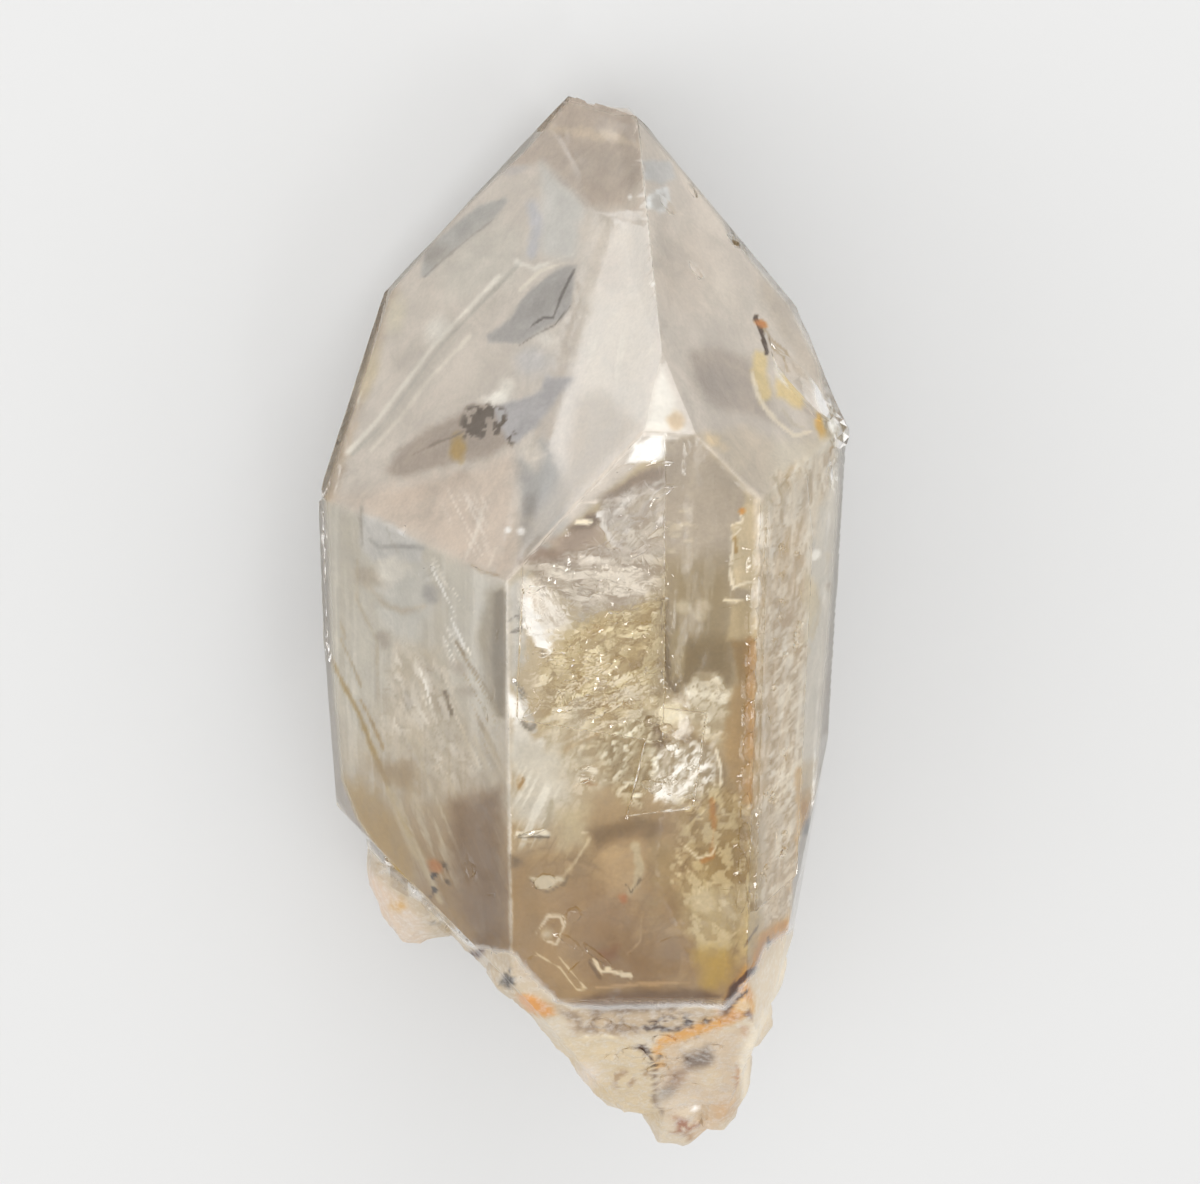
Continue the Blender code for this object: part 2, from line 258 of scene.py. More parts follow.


# What shows in and under the near faces, in the photograph's pixels. Each mark is a
# kind, its shape, its size (an oval's radii and turn, or a line's width), how soft and
# how ragged its border is, its colour, its cover and its strength.
# Some marks are painted light: glints, highlights, pale lines of light along edges, and the lit
# and shaded facets of each facet mark.
MARKS = (
    # The tip: smoke under the broken ridge, with a paler streak in it.
    ("patch", ((568, 96), (590, 108), (633, 114), (641, 150), (644, 176), (622, 203),
               (588, 206), (566, 186), (545, 162), (496, 172), (520, 148)),
     None, 6, 3, (184, 171, 158), 0.86, 1.0),
    ("stroke", ((553, 128), (585, 134), (612, 137), (640, 146)), 9, 8, 3,
     (212, 197, 176), 0.8, 0.8),
    ("spot", (606, 172), (34, 20, 10), 0.6, 0.2, (178, 168, 157), 0.86, 0.8),
    ("stroke", ((551, 172), (573, 192), (587, 207)), 2.2, 2, 0.5, (168, 156, 146), 0.9, 0.8),
    ("spot", (515, 170), (13, 4, -14), 0.6, 0.2, (192, 186, 182), 0.8, 0.9),
    ("patch", ((541, 165), (575, 194), (584, 210), (573, 256), (541, 250)), None, 8, 3,
     (212, 212, 208), 0.6, 0.9),
    ("stroke", ((532, 206), (538, 226), (531, 252)), 11, 9, 2, (190, 191, 197), 0.78, 0.9),
    # The tip's left face: a narrow grey pocket, a leaf-shaped one, and fine long lines.
    ("patch", ((420, 277), (423, 256), (441, 236), (478, 206), (506, 196), (509, 202),
               (492, 221), (469, 239), (443, 260), (426, 277)), None, 2.6, 1.2,
     (172, 170, 166), 0.9, 1.0),
    ("spot", (436, 253), (12, 9, -40), 0.6, 0.3, (156, 151, 144), 0.92, 0.8),
    ("stroke", ((424, 277), (444, 259), (469, 238), (493, 220)), 2, 2, 0.6,
     (140, 134, 128), 0.92, 0.7),
    ("stroke", ((384, 294), (366, 345), (346, 405), (330, 455), (321, 492)), 26, 20, 3,
     (172, 156, 135), 0.88, 1.0),
    ("spot", (396, 315), (9, 17, 15), 0.7, 0.2, (219, 211, 188), 0.75, 0.9),
    ("spot", (369, 372), (8, 26, 18), 0.7, 0.2, (205, 191, 160), 0.78, 0.8),
    ("spot", (405, 356), (22, 13, -45), 0.7, 0.3, (196, 188, 178), 0.75, 0.7),
    ("spot", (400, 250), (12, 6, -45), 0.7, 0.3, (214, 205, 190), 0.7, 0.7),
    ("patch", ((440, 262), (500, 222), (525, 232), (520, 285), (450, 300)), None, 14, 5,
     (214, 209, 198), 0.62, 0.8),
    ("stroke", ((353, 454), (382, 425), (414, 382), (443, 343), (504, 280), (520, 262)),
     3.2, 3, 0.5, (176, 172, 163), 0.86, 0.9),
    ("stroke", ((348, 452), (376, 422), (409, 378), (438, 340), (499, 276)), 4.5, 4, 0.6,
     (228, 224, 213), 0.86, 0.9),
    ("stroke", ((366, 447), (395, 415), (426, 373), (462, 332), (496, 300)), 2.6, 3, 0.5,
     (186, 180, 170), 0.84, 0.8),
    ("stroke", ((371, 450), (400, 418), (431, 377), (470, 336)), 4, 4, 0.6,
     (224, 219, 206), 0.84, 0.7),
    ("spot", (436, 329), (9, 14, 30), 0.8, 0.3, (230, 227, 218), 0.85, 0.8),
    ("patch", ((577, 265), (573, 300), (563, 317), (545, 329), (520, 342), (489, 343),
               (486, 335), (510, 319), (520, 298), (545, 278), (561, 268)), None, 2.4, 1.6,
     (166, 163, 160), 0.93, 1.0),
    ("spot", (549, 300), (20, 9, -45), 0.7, 0.4, (150, 147, 143), 0.93, 0.7),
    ("stroke", ((574, 270), (562, 294), (553, 318), (543, 318), (531, 326)), 1.8, 1.4, 0.5,
     (98, 92, 88), 0.97, 0.9),
    ("stroke", ((520, 345), (535, 335), (555, 325), (570, 306)), 1.6, 1.4, 0.4,
     (108, 102, 96), 0.97, 0.8),
    ("stroke", ((516, 262), (534, 268), (560, 258), (573, 254)), 4, 4, 1.2,
     (232, 229, 220), 0.85, 0.8),
    ("stroke", ((520, 290), (540, 271), (565, 262)), 3, 3, 0.8, (226, 220, 206), 0.85, 0.8),
    ("spot", (545, 340), (13, 8, 10), 0.7, 0.3, (228, 224, 216), 0.85, 0.8),
    ("spot", (532, 360), (16, 14, 0), 0.8, 0.3, (198, 197, 198), 0.8, 0.8),
    # The large dark pocket under the tip's left face, with its black crumbs and a painted white
    # highlight at its top.
    ("patch", ((386, 472), (396, 454), (422, 432), (447, 419), (463, 414), (480, 403),
               (496, 408), (516, 440), (492, 458), (455, 463), (422, 471), (398, 479)),
     None, 6, 3, (166, 154, 142), 0.93, 1.0),
    ("patch", ((494, 407), (516, 399), (541, 391), (545, 375), (574, 378), (556, 401),
               (536, 430), (518, 444), (505, 440)), None, 4, 2, (172, 170, 171), 0.93, 1.0),
    ("stroke", ((392, 501), (414, 495), (443, 487), (463, 478)), 13, 10, 3,
     (178, 164, 150), 0.88, 0.9),
    ("patch", ((516, 448), (545, 440), (563, 470), (565, 520), (545, 550), (524, 548),
               (516, 500)), None, 9, 4, (168, 167, 165), 0.9, 1.0),
    ("spot", (531, 522), (8, 24, 4), 0.7, 0.3, (138, 134, 129), 0.94, 0.9),
    ("spot", (538, 545), (22, 7, -28), 0.7, 0.3, (156, 148, 138), 0.92, 0.7),
    ("spot", (533, 455), (11, 15, 20), 0.6, 0.3, (218, 210, 198), 0.88, 0.9),
    # A painted highlight: the white glint at the pocket's top.
    ("spot", (497, 399), (13, 7, -12), 0.6, 0.4, (240, 237, 228), 0.95, 1.0),
    ("spot", (505, 386), (8, 7, -30), 0.6, 0.4, (230, 226, 216), 0.92, 0.8),
    ("crumbs", ((468, 408), (482, 403), (502, 409), (516, 436), (512, 447), (500, 434),
                (488, 440), (470, 436), (455, 437), (462, 422)), None, 4, 2,
     (96, 85, 74), 0.97, 1.0),
    ("spot", (459, 447), (7, 13, 10), 0.6, 0.5, (168, 140, 82), 0.95, 0.85),
    ("stroke", ((414, 454), (436, 443), (455, 436), (484, 420)), 1.6, 1.6, 0.6,
     (128, 116, 104), 0.95, 0.8),
    # The peach-coloured wedge under it, with feathery white streaks.
    ("patch", ((330, 497), (396, 486), (470, 470), (512, 452), (520, 548), (504, 580),
               (402, 533)), None, 12, 4, (207, 192, 177), 0.86, 0.8),
    ("feather", ((440, 486), (490, 500), (484, 560), (455, 545)), (30, 3.0, 62), 8, 2,
     (230, 222, 212), 0.9, 0.8),
    ("stroke", ((483, 508), (478, 528), (468, 552), (465, 560)), 4, 4, 1, (234, 227, 216),
     0.9, 0.8),
    ("stroke", ((496, 548), (489, 566)), 3, 3, 0.6, (226, 217, 204), 0.9, 0.8),
    ("stroke", ((472, 565), (482, 572), (497, 575)), 3, 3, 0.5, (148, 126, 96), 0.9, 0.6),
    ("spot", (508, 530), (3.4, 3.4, 0), 0.5, 0.1, (248, 247, 244), 1.0, 1.0),
    ("spot", (521.5, 531.5), (4, 4, 0), 0.5, 0.1, (246, 245, 243), 1.0, 1.0),
    # The tip's clearer right half.
    ("patch", ((590, 215), (650, 230), (655, 300), (648, 420), (585, 440), (580, 300)),
     None, 16, 4, (217, 210, 199), 0.72, 0.9),
    ("feather", ((590, 330), (660, 330), (650, 430), (570, 470)), (60, 7.0, 100), 16, 3,
     (226, 221, 211), 0.8, 0.7),
    ("patch", ((575, 400), (600, 390), (640, 425), (520, 560), (530, 520), (565, 470)),
     None, 10, 3, (190, 180, 167), 0.82, 0.7),
    # A painted highlight: a pale line of light along the edge with the front face.
    ("stroke", ((508, 579), (545, 538), (600, 478), (643, 432)), 4, 3, 0.4,
     (216, 206, 194), 0.92, 0.9),
    ("spot", (608, 270), (16, 34, -30), 0.9, 0.4, (206, 196, 185), 0.75, 0.7),
    ("spot", (600, 232), (26, 10, 20), 0.8, 0.4, (221, 212, 200), 0.78, 0.7),
    # A painted highlight: a pale line of light along the edge between the tip's left and right
    # faces.
    ("stroke", ((637, 124), (641, 150), (645, 196), (650, 240), (655, 296)), 2.4, 2, 0.4,
     (234, 230, 222), 0.92, 0.9),
    # The small front tip face: a painted glint of reflected light, and a pale wedge above it.
    ("patch", ((661, 362), (688, 432), (644, 430)), None, 6, 2, (228, 225, 217), 0.86, 0.9),
    ("patch", ((624, 464), (636, 446), (650, 437), (679, 437), (678, 455), (655, 461)),
     None, 3, 1.6, (254, 254, 252), 0.98, 1.0),
    ("spot", (676, 420), (6, 7, 10), 0.7, 0.5, (194, 166, 124), 0.9, 0.8),
    # The tip's right face.
    ("patch", ((641, 118), (700, 182), (755, 260), (740, 300), (700, 260), (660, 240),
               (648, 200)), None, 14, 4, (216, 206, 194), 0.72, 0.8),
    ("patch", ((643, 160), (672, 160), (676, 178), (662, 186), (645, 180)), None, 3, 1.6,
     (197, 197, 196), 0.86, 1.0),
    ("patch", ((654, 190), (666, 186), (672, 196), (671, 212), (660, 214), (648, 206),
               (647, 196)), None, 2.4, 2.5, (226, 228, 228), 0.92, 1.0),
    ("spot", (659, 200), (7, 8, 30), 0.6, 0.8, (176, 172, 165), 0.92, 0.7),
    ("patch", ((686, 259), (699, 263), (708, 276), (706, 284), (697, 279), (688, 268)),
     None, 1.8, 2.2, (228, 230, 230), 0.94, 1.0),
    ("stroke", ((691, 264), (698, 270), (704, 280)), 1.5, 1.2, 1.0, (150, 148, 144), 0.9, 0.8),
    ("spot", (680, 270), (26, 36, -20), 0.9, 0.3, (197, 186, 173), 0.8, 0.7),
    ("spot", (652, 284), (3, 3, 0), 0.5, 0.1, (246, 244, 240), 1.0, 1.0),
    ("spot", (630, 197), (2.6, 2.6, 0), 0.5, 0.1, (244, 242, 238), 1.0, 1.0),
    ("patch", ((755, 262), (796, 308), (830, 368), (836, 396), (800, 372), (775, 330),
               (757, 300)), None, 10, 3, (186, 175, 160), 0.86, 0.9),
    ("spot", (730, 300), (24, 14, 40), 0.9, 0.4, (218, 209, 196), 0.78, 0.7),
    ("patch", ((691, 352), (720, 345), (750, 366), (772, 402), (780, 425), (752, 420),
               (716, 408), (694, 386)), None, 10, 4, (172, 161, 150), 0.9, 0.95),
    ("spot", (722, 384), (20, 16, 30), 0.8, 0.3, (160, 151, 143), 0.92, 0.7),
    ("patch", ((756, 352), (766, 352), (770, 398), (760, 404), (753, 380)), None, 4, 2,
     (220, 198, 140), 0.9, 0.9),
    ("patch", ((778, 374), (790, 378), (806, 398), (800, 408), (776, 396)), None, 4, 2.5,
     (216, 194, 138), 0.9, 0.9),
    ("patch", ((772, 358), (780, 355), (789, 368), (795, 386), (787, 386), (776, 376)),
     None, 2.2, 1.2, (224, 219, 208), 0.93, 1.0),
    ("stroke", ((771, 352), (786, 366), (797, 388)), 2, 1.6, 0.6, (170, 152, 116), 0.93, 0.8),
    ("stroke", ((756, 318), (761, 333), (765, 345), (767, 354)), 3.4, 1.4, 1.4,
     (70, 50, 30), 0.98, 1.0),
    ("spot", (761.5, 324), (5, 3, 20), 0.5, 0.5, (190, 118, 40), 0.95, 0.95),
    ("crumbs", ((768, 336), (782, 345), (784, 356), (772, 352)), None, 2, 1.4,
     (110, 88, 56), 0.95, 1.0),
    ("stroke", ((765, 330), (774, 340), (786, 350), (794, 366)), 1.8, 1.6, 0.8,
     (156, 138, 108), 0.92, 0.8),
    ("stroke", ((752, 372), (756, 391), (765, 408), (777, 422), (795, 436), (811, 431)),
     3.6, 2.4, 1.0, (232, 222, 202), 0.95, 0.9),
    ("stroke", ((783, 410), (793, 424), (804, 428)), 2.2, 2, 0.8, (176, 166, 146), 0.9, 0.7),
    ("patch", ((696, 434), (745, 425), (775, 440), (790, 470), (762, 500)), None, 9, 3,
     (202, 190, 172), 0.84, 0.9),
    ("spot", (715, 441), (12, 6, 30), 0.7, 0.6, (222, 202, 166), 0.9, 0.8),
    ("spot", (738, 462), (9, 12, 30), 0.8, 0.5, (214, 202, 182), 0.88, 0.8),
    # A painted highlight: a pale line of light along the edge between the tip's right face and
    # the front face.
    ("stroke", ((697, 436), (730, 468), (762, 500)), 3, 3, 0.5, (216, 206, 190), 0.9, 0.8),
    # The knob on the right corner, and the facets under it.
    ("patch", ((819, 412), (838, 408), (846, 424), (836, 444), (822, 438)), None, 3, 1,
     (178, 168, 146), 0.93, 1.0),
    ("spot", (834, 427), (5, 5, 0), 0.6, 0.2, (226, 224, 216), 0.95, 0.9),
    ("patch", ((815, 420), (821, 418), (827, 438), (820, 440)), None, 2.4, 2,
     (210, 166, 74), 0.95, 0.95),
    ("patch", ((775, 440), (832, 436), (828, 470), (806, 520), (766, 510)), None, 8, 3,
     (214, 206, 189), 0.8, 0.9),
    ("stroke", ((832, 450), (829, 462), (826, 478)), 5, 3, 2.2, (146, 108, 52), 0.96, 0.85),
    ("spot", (829, 481), (3.4, 4.5, 0), 0.5, 0.5, (104, 66, 22), 0.98, 0.95),
    ("patch", ((812, 482), (817, 482), (811, 514), (804, 518)), None, 2, 1.2,
     (178, 172, 158), 0.9, 0.9),
    ("patch", ((820, 480), (823, 490), (816, 508), (812, 510)), None, 2, 1.2,
     (180, 172, 156), 0.9, 0.9),
    ("spot", (803, 476), (8, 6, -30), 0.6, 0.4, (190, 186, 174), 0.88, 0.8),
    ("spot", (795, 466), (10, 3, -10), 0.6, 0.4, (196, 191, 178), 0.88, 0.7),
    # The left prism face: clear and greenish, with upright shades and two square ones.
    ("feather", ((320, 500), (500, 585), (500, 800), (330, 800)), (240, 8.0, 91), 10, 2,
     (190, 181, 163), 0.74, 0.55),
    ("feather", ((320, 500), (500, 585), (500, 800), (330, 800)), (160, 5.0, 89), 10, 2,
     (222, 217, 205), 0.74, 0.45),
    ("stroke", ((322, 500), (324, 600), (327, 700), (332, 800)), 9, 6, 1.5,
     (186, 176, 156), 0.84, 0.8),
    ("patch", ((361, 512), (392, 524), (424, 545), (424, 565), (372, 562), (360, 545)),
     None, 4, 2, (205, 203, 199), 0.78, 0.9),
    ("stroke", ((361, 508), (362, 545)), 3, 2.4, 0.6, (158, 152, 142), 0.9, 0.9),
    ("stroke", ((370, 540), (380, 547), (400, 546), (423, 548)), 3.6, 3, 1,
     (166, 163, 158), 0.9, 0.9),
    ("stroke", ((387, 528), (391, 540), (398, 553)), 2, 2, 0.8, (176, 170, 160), 0.85, 0.7),
    ("patch", ((368, 566), (428, 562), (436, 600), (420, 640), (400, 650), (380, 610)),
     None, 9, 3, (208, 206, 198), 0.72, 0.8),
    ("spot", (371, 577), (15, 9, 20), 0.8, 0.3, (172, 160, 142), 0.88, 0.9),
    ("spot", (392, 571), (12, 13, 0), 0.6, 0.4, (228, 223, 212), 0.92, 1.0),
    ("stroke", ((366, 584), (384, 604), (402, 612), (424, 606)), 7, 6, 2, (184, 172, 152),
     0.86, 0.8),
    ("spot", (428, 595), (8, 9, -20), 0.6, 0.4, (158, 154, 150), 0.93, 0.9),
    ("stroke", ((357, 560), (357, 600), (377, 640), (378, 700)), 2.6, 3, 1,
     (174, 160, 134), 0.85, 0.6),
    ("spot", (383, 637), (7, 9, -15), 0.7, 0.5, (164, 153, 138), 0.9, 0.8),
    ("spot", (397, 650), (4, 10, 0), 0.7, 0.5, (232, 226, 216), 0.92, 0.9),
    ("patch", ((398, 672), (430, 664), (440, 720), (420, 748), (392, 720)), None, 8, 4,
     (220, 214, 202), 0.82, 0.8),
    ("stroke", ((399, 652), (402, 700), (398, 724), (394, 726)), 4, 4, 1.5, (226, 219, 206),
     0.85, 0.7),
    ("spot", (407, 700), (4, 9, -20), 0.6, 0.5, (140, 134, 126), 0.93, 0.95),
    ("spot", (398, 696), (6, 6, 0), 0.7, 0.5, (170, 162, 148), 0.9, 0.8),
    ("spot", (433, 692), (5, 8, -25), 0.7, 0.5, (164, 153, 138), 0.9, 0.8),
    ("spot", (428, 670), (6, 5, 30), 0.7, 0.5, (176, 164, 152), 0.9, 0.8),
    ("spot", (441, 708), (6, 4, 30), 0.7, 0.5, (168, 156, 138), 0.9, 0.8),
    ("facet", ((392, 640), (440, 650), (470, 720), (496, 790), (420, 800), (380, 730)),
     (22, 7.0, 66), 12, 4, ((176, 160, 134), (232, 224, 210)), 0.84, 0.6),
    # Its feathery white fractures, and the smoky band beside the front face.
    ("feather", ((424, 560), (432, 562), (456, 600), (466, 640), (464, 652), (444, 610),
                 (428, 580)), (60, 2.4, 64), 2.4, 1.4, (250, 248, 243), 0.97, 1.0),
    ("feather", ((430, 556), (440, 560), (474, 612), (470, 616), (446, 586)),
     (60, 2.2, 60), 3, 1.4, (240, 234, 222), 0.93, 0.9),
    ("feather", ((441, 622), (452, 630), (462, 662), (452, 668), (444, 646)),
     (50, 2.6, 68), 2.4, 1.4, (238, 234, 226), 0.95, 1.0),
    ("feather", ((419, 668), (426, 672), (438, 720), (434, 726), (424, 700)),
     (60, 2.4, 72), 2.4, 1.2, (244, 240, 232), 0.95, 1.0),
    ("feather", ((436, 664), (446, 668), (470, 745), (498, 770), (470, 770), (452, 716)),
     (80, 2.6, 66), 4, 2, (226, 217, 200), 0.85, 0.9),
    ("feather", ((452, 640), (460, 640), (500, 700), (505, 800), (490, 790), (470, 700)),
     (80, 2.6, 62), 5, 2, (158, 142, 116), 0.88, 0.85),
    ("stroke", ((456, 642), (466, 656), (486, 688), (497, 712)), 3, 2, 1, (140, 124, 100),
     0.93, 0.8),
    ("stroke", ((468, 648), (471, 658)), 2.4, 1.5, 1.0, (250, 246, 236), 0.97, 0.95),
    ("spot", (458, 668), (9, 7, 10), 0.6, 0.5, (172, 162, 150), 0.9, 0.8),
    ("stroke", ((445, 692), (452, 714)), 2, 1.4, 0.8, (112, 96, 74), 0.95, 0.8),
    ("spot", (466, 690), (9, 6, 20), 0.7, 0.5, (170, 160, 146), 0.9, 0.8),
    ("patch", ((486, 590), (504, 584), (505, 735), (488, 700), (478, 640)), None, 7, 2,
     (165, 153, 131), 0.86, 0.9),
    ("patch", ((494, 592), (505, 586), (506, 720), (498, 716), (492, 660)), None, 3, 1,
     (142, 131, 113), 0.92, 0.95),
    # A painted highlight: a pale line of light along the edge between the left and front faces.
    ("stroke", ((507, 583), (508, 700), (509, 800), (511, 950)), 3.4, 2, 0.5,
     (222, 216, 206), 0.93, 0.85),
    # Olive threads low on the left face, and the brown zone near its broken end.
    ("stroke", ((325, 645), (340, 678), (359, 713), (374, 752), (392, 795), (410, 836)),
     4.4, 3, 0.9, (160, 136, 84), 0.93, 0.95),
    ("stroke", ((361, 700), (372, 722), (384, 750)), 3.2, 2.4, 0.7, (152, 128, 84), 0.92, 0.9),
    ("stroke", ((341, 640), (352, 663), (361, 686)), 2.8, 2.4, 0.7, (164, 148, 118), 0.9, 0.85),
    ("stroke", ((340, 622), (346, 638)), 2.6, 2.4, 0.7, (172, 158, 132), 0.88, 0.7),
    ("patch", ((332, 770), (382, 800), (420, 850), (410, 900), (352, 846), (334, 806)),
     None, 14, 6, (166, 138, 84), 0.9, 0.85),
    ("feather", ((360, 740), (500, 720), (500, 900), (420, 880)), (90, 5.0, 68), 12, 4,
     (200, 186, 158), 0.8, 0.7),
    ("patch", ((450, 800), (500, 790), (507, 940), (480, 950), (455, 880)), None, 12, 4,
     (122, 94, 60), 0.92, 0.85),
    ("spot", (398, 775), (22, 12, 20), 0.8, 0.5, (156, 132, 94), 0.9, 0.8),
    ("stroke", ((388, 790), (402, 826), (422, 862), (440, 900)), 5, 5, 2, (196, 178, 140),
     0.86, 0.7),
    ("crumbs", ((424, 862), (444, 866), (450, 892), (430, 896)), None, 4, 3,
     (58, 44, 28), 0.98, 0.95),
    ("spot", (436, 866), (6, 6, 0), 0.6, 0.5, (182, 110, 46), 0.93, 0.7),
    # The front face, top: dark steps under its upper edge, with white rims.
    ("patch", ((602, 497), (640, 470), (668, 464), (670, 486), (640, 492), (610, 505)),
     None, 4, 3, (138, 123, 109), 0.93, 0.95),
    ("patch", ((560, 540), (584, 515), (605, 508), (626, 506), (624, 520), (600, 524),
               (585, 540), (565, 552)), None, 4, 4, (130, 114, 99), 0.94, 0.95),
    ("patch", ((522, 560), (545, 548), (585, 552), (610, 545), (612, 556), (575, 566),
               (535, 564)), None, 4, 4, (142, 122, 106), 0.93, 0.9),
    ("patch", ((545, 540), (600, 524), (604, 544), (560, 552)), None, 4, 3,
     (172, 154, 138), 0.9, 0.8),
    ("feather", ((600, 504), (670, 480), (664, 560), (610, 556)), (26, 5.0, -32), 6, 3,
     (206, 200, 193), 0.88, 0.9),
    ("stroke", ((586, 502), (610, 500), (632, 498), (656, 488)), 3.4, 2.4, 1.6,
     (226, 218, 208), 0.95, 0.95),
    ("stroke", ((598, 515), (606, 511), (604, 524), (611, 540), (622, 549)), 4.4, 2.4, 1.4,
     (238, 235, 230), 0.96, 1.0),
    ("stroke", ((626, 530), (640, 512), (656, 494), (660, 490)), 5, 4, 2, (222, 219, 214),
     0.92, 0.9),
    ("stroke", ((576, 522), (590, 522)), 3.6, 2, 0.8, (250, 240, 216), 0.98, 1.0),
    ("spot", (675, 488), (2.6, 9, 0), 0.5, 0.3, (230, 222, 206), 0.94, 0.9),
    ("stroke", ((540, 566), (580, 560), (640, 552), (676, 548)), 3, 3, 1.4, (168, 146, 126),
     0.9, 0.8),
    # The white hatched fracture at its upper left.
    ("patch", ((508, 586), (528, 572), (524, 660), (512, 680)), None, 6, 2,
     (206, 204, 199), 0.8, 0.9),
    ("patch", ((522, 582), (540, 576), (556, 600), (572, 622), (572, 650), (558, 660),
               (540, 648), (526, 625), (521, 600)), None, 4, 3, (240, 234, 224), 0.95, 1.0),
    ("feather", ((526, 580), (544, 578), (566, 610), (560, 628), (534, 612)),
     (60, 2.2, 56), 2, 1, (190, 176, 158), 0.95, 0.75),
    ("patch", ((521, 596), (530, 600), (545, 640), (560, 656), (545, 654), (527, 632)),
     None, 2.4, 2, (253, 252, 249), 0.98, 1.0),
    ("stroke", ((510, 620), (516, 616), (522, 620), (520, 630), (512, 632)), 2.6, 1.6, 1.2,
     (110, 104, 98), 0.95, 0.8),
    ("stroke", ((536, 650), (544, 658), (556, 662), (564, 666)), 2.4, 1.6, 1.2,
     (96, 86, 74), 0.95, 0.8),
    ("spot", (591, 611), (6, 7, 0), 0.5, 0.3, (150, 146, 142), 0.9, 0.6),
    ("spot", (581, 620), (5, 8, 0), 0.6, 0.3, (176, 174, 176), 0.9, 0.8),
    # Bands of crackle across it, their facets painted lighter and darker as they catch the
    # light, and its straight right-hand border.
    ("facet", ((524, 566), (600, 548), (664, 546), (664, 610), (600, 616), (566, 604)),
     (20, 5.0, 3), 6, 4, ((150, 137, 122), (240, 234, 224)), 0.92, 0.85),
    ("facet", ((600, 500), (664, 476), (664, 556), (610, 556)),
     (18, 7.0, -30), 6, 4, ((158, 146, 134), (232, 228, 222)), 0.9, 0.7),
    ("feather", ((540, 566), (664, 550), (664, 606), (610, 612), (566, 600)),
     (34, 5.0, 2), 6, 3, (226, 218, 205), 0.9, 0.9),
    ("feather", ((560, 570), (664, 556), (664, 606), (600, 606)), (30, 4.2, 4), 5, 3,
     (156, 142, 126), 0.9, 0.75),
    ("patch", ((556, 640), (592, 612), (664, 596), (664, 660), (620, 700), (560, 690)),
     None, 8, 4, (176, 157, 116), 0.88, 0.9),
    ("patch", ((580, 634), (592, 627), (608, 620), (604, 632), (588, 642)), None, 3, 2.4,
     (124, 92, 42), 0.95, 0.95),
    ("stroke", ((588, 650), (604, 642), (624, 640), (630, 648)), 4, 3, 1.4,
     (214, 198, 164), 0.92, 0.9),
    ("stroke", ((566, 668), (590, 664), (606, 660)), 4.4, 3, 1.8, (206, 190, 160), 0.92, 0.9),
    ("stroke", ((640, 612), (652, 624), (662, 634)), 3, 2, 1.2, (236, 226, 196), 0.95, 0.8),
    ("stroke", ((566, 706), (600, 690), (640, 668), (664, 658)), 7, 4, 2, (210, 194, 142),
     0.92, 0.9),
    ("stroke", ((574, 716), (610, 704), (650, 684), (672, 676)), 4, 3, 1.4, (148, 128, 84),
     0.93, 0.9),
    ("stroke", ((600, 712), (628, 700), (640, 694)), 3, 2, 1, (226, 206, 156), 0.94, 0.8),
    ("stroke", ((620, 722), (636, 714), (645, 712)), 2.6, 2, 1, (90, 72, 46), 0.95, 0.85),
    ("facet", ((545, 660), (600, 620), (664, 604), (664, 700), (640, 740), (560, 780),
               (536, 730)), (17, 6.0, -24), 9, 6, ((136, 112, 70), (236, 224, 188)), 0.92, 0.8),
    ("feather", ((528, 668), (600, 650), (650, 690), (640, 740), (560, 770), (540, 720)),
     (40, 4.0, -24), 8, 4, (232, 222, 200), 0.9, 0.8),
    ("feather", ((540, 676), (620, 660), (640, 720), (560, 750)), (30, 3.4, -28), 8, 4,
     (138, 116, 84), 0.92, 0.65),
    ("patch", ((508, 690), (522, 700), (534, 740), (546, 740), (546, 770), (512, 770)),
     None, 5, 3, (230, 226, 217), 0.9, 0.95),
    ("patch", ((508, 694), (520, 700), (524, 722), (512, 726)), None, 3, 3,
     (251, 250, 247), 0.97, 1.0),
    ("stroke", ((514, 682), (522, 700), (532, 724), (534, 730)), 6, 2, 0.8,
     (196, 193, 188), 0.93, 0.7),
    ("stroke", ((514, 680), (520, 688), (524, 696)), 2.2, 1.4, 0.6, (90, 88, 84), 0.95, 0.8),
    ("stroke", ((522, 722), (530, 730), (535, 726)), 2.4, 1.4, 0.6, (120, 112, 100), 0.95, 0.8),
    ("spot", (541, 743), (4, 4, 0), 0.5, 0.2, (236, 232, 224), 0.95, 0.9),
    ("stroke", ((564, 752), (580, 742), (600, 732)), 3, 2.4, 1.2, (150, 118, 70), 0.93, 0.8),
    ("stroke", ((580, 740), (602, 730)), 2, 1.6, 0.8, (232, 220, 190), 0.93, 0.8),
    # Right of that border: smooth olive smoke that darkens downwards.
    ("patch", ((664, 440), (696, 436), (745, 490), (748, 600), (730, 690), (664, 690)),
     None, 4, 1, (170, 158, 142), 0.88, 0.95),
    ("patch", ((664, 560), (740, 560), (735, 690), (664, 694)), None, 22, 3,
     (144, 127, 94), 0.92, 0.95),
    ("patch", ((668, 640), (732, 636), (730, 688), (680, 690)), None, 12, 3,
     (120, 102, 70), 0.94, 0.9),
    ("feather", ((664, 450), (740, 480), (740, 640), (668, 640)), (50, 6.0, 92), 8, 2,
     (184, 173, 156), 0.88, 0.35),
    ("stroke", ((664, 596), (665, 640), (670, 684), (676, 690)), 6, 4, 1, (106, 88, 60),
     0.95, 0.95),
    ("stroke", ((664, 540), (664, 600), (664, 660)), 2.6, 2, 1.4, (214, 200, 166), 0.92, 0.7),
    ("patch", ((672, 632), (680, 628), (686, 640), (682, 676), (674, 676), (670, 650)),
     None, 3, 1.4, (156, 140, 106), 0.92, 0.85),
    ("feather", ((668, 510), (696, 510), (696, 560), (668, 560)), (14, 4.4, 0), 4, 2,
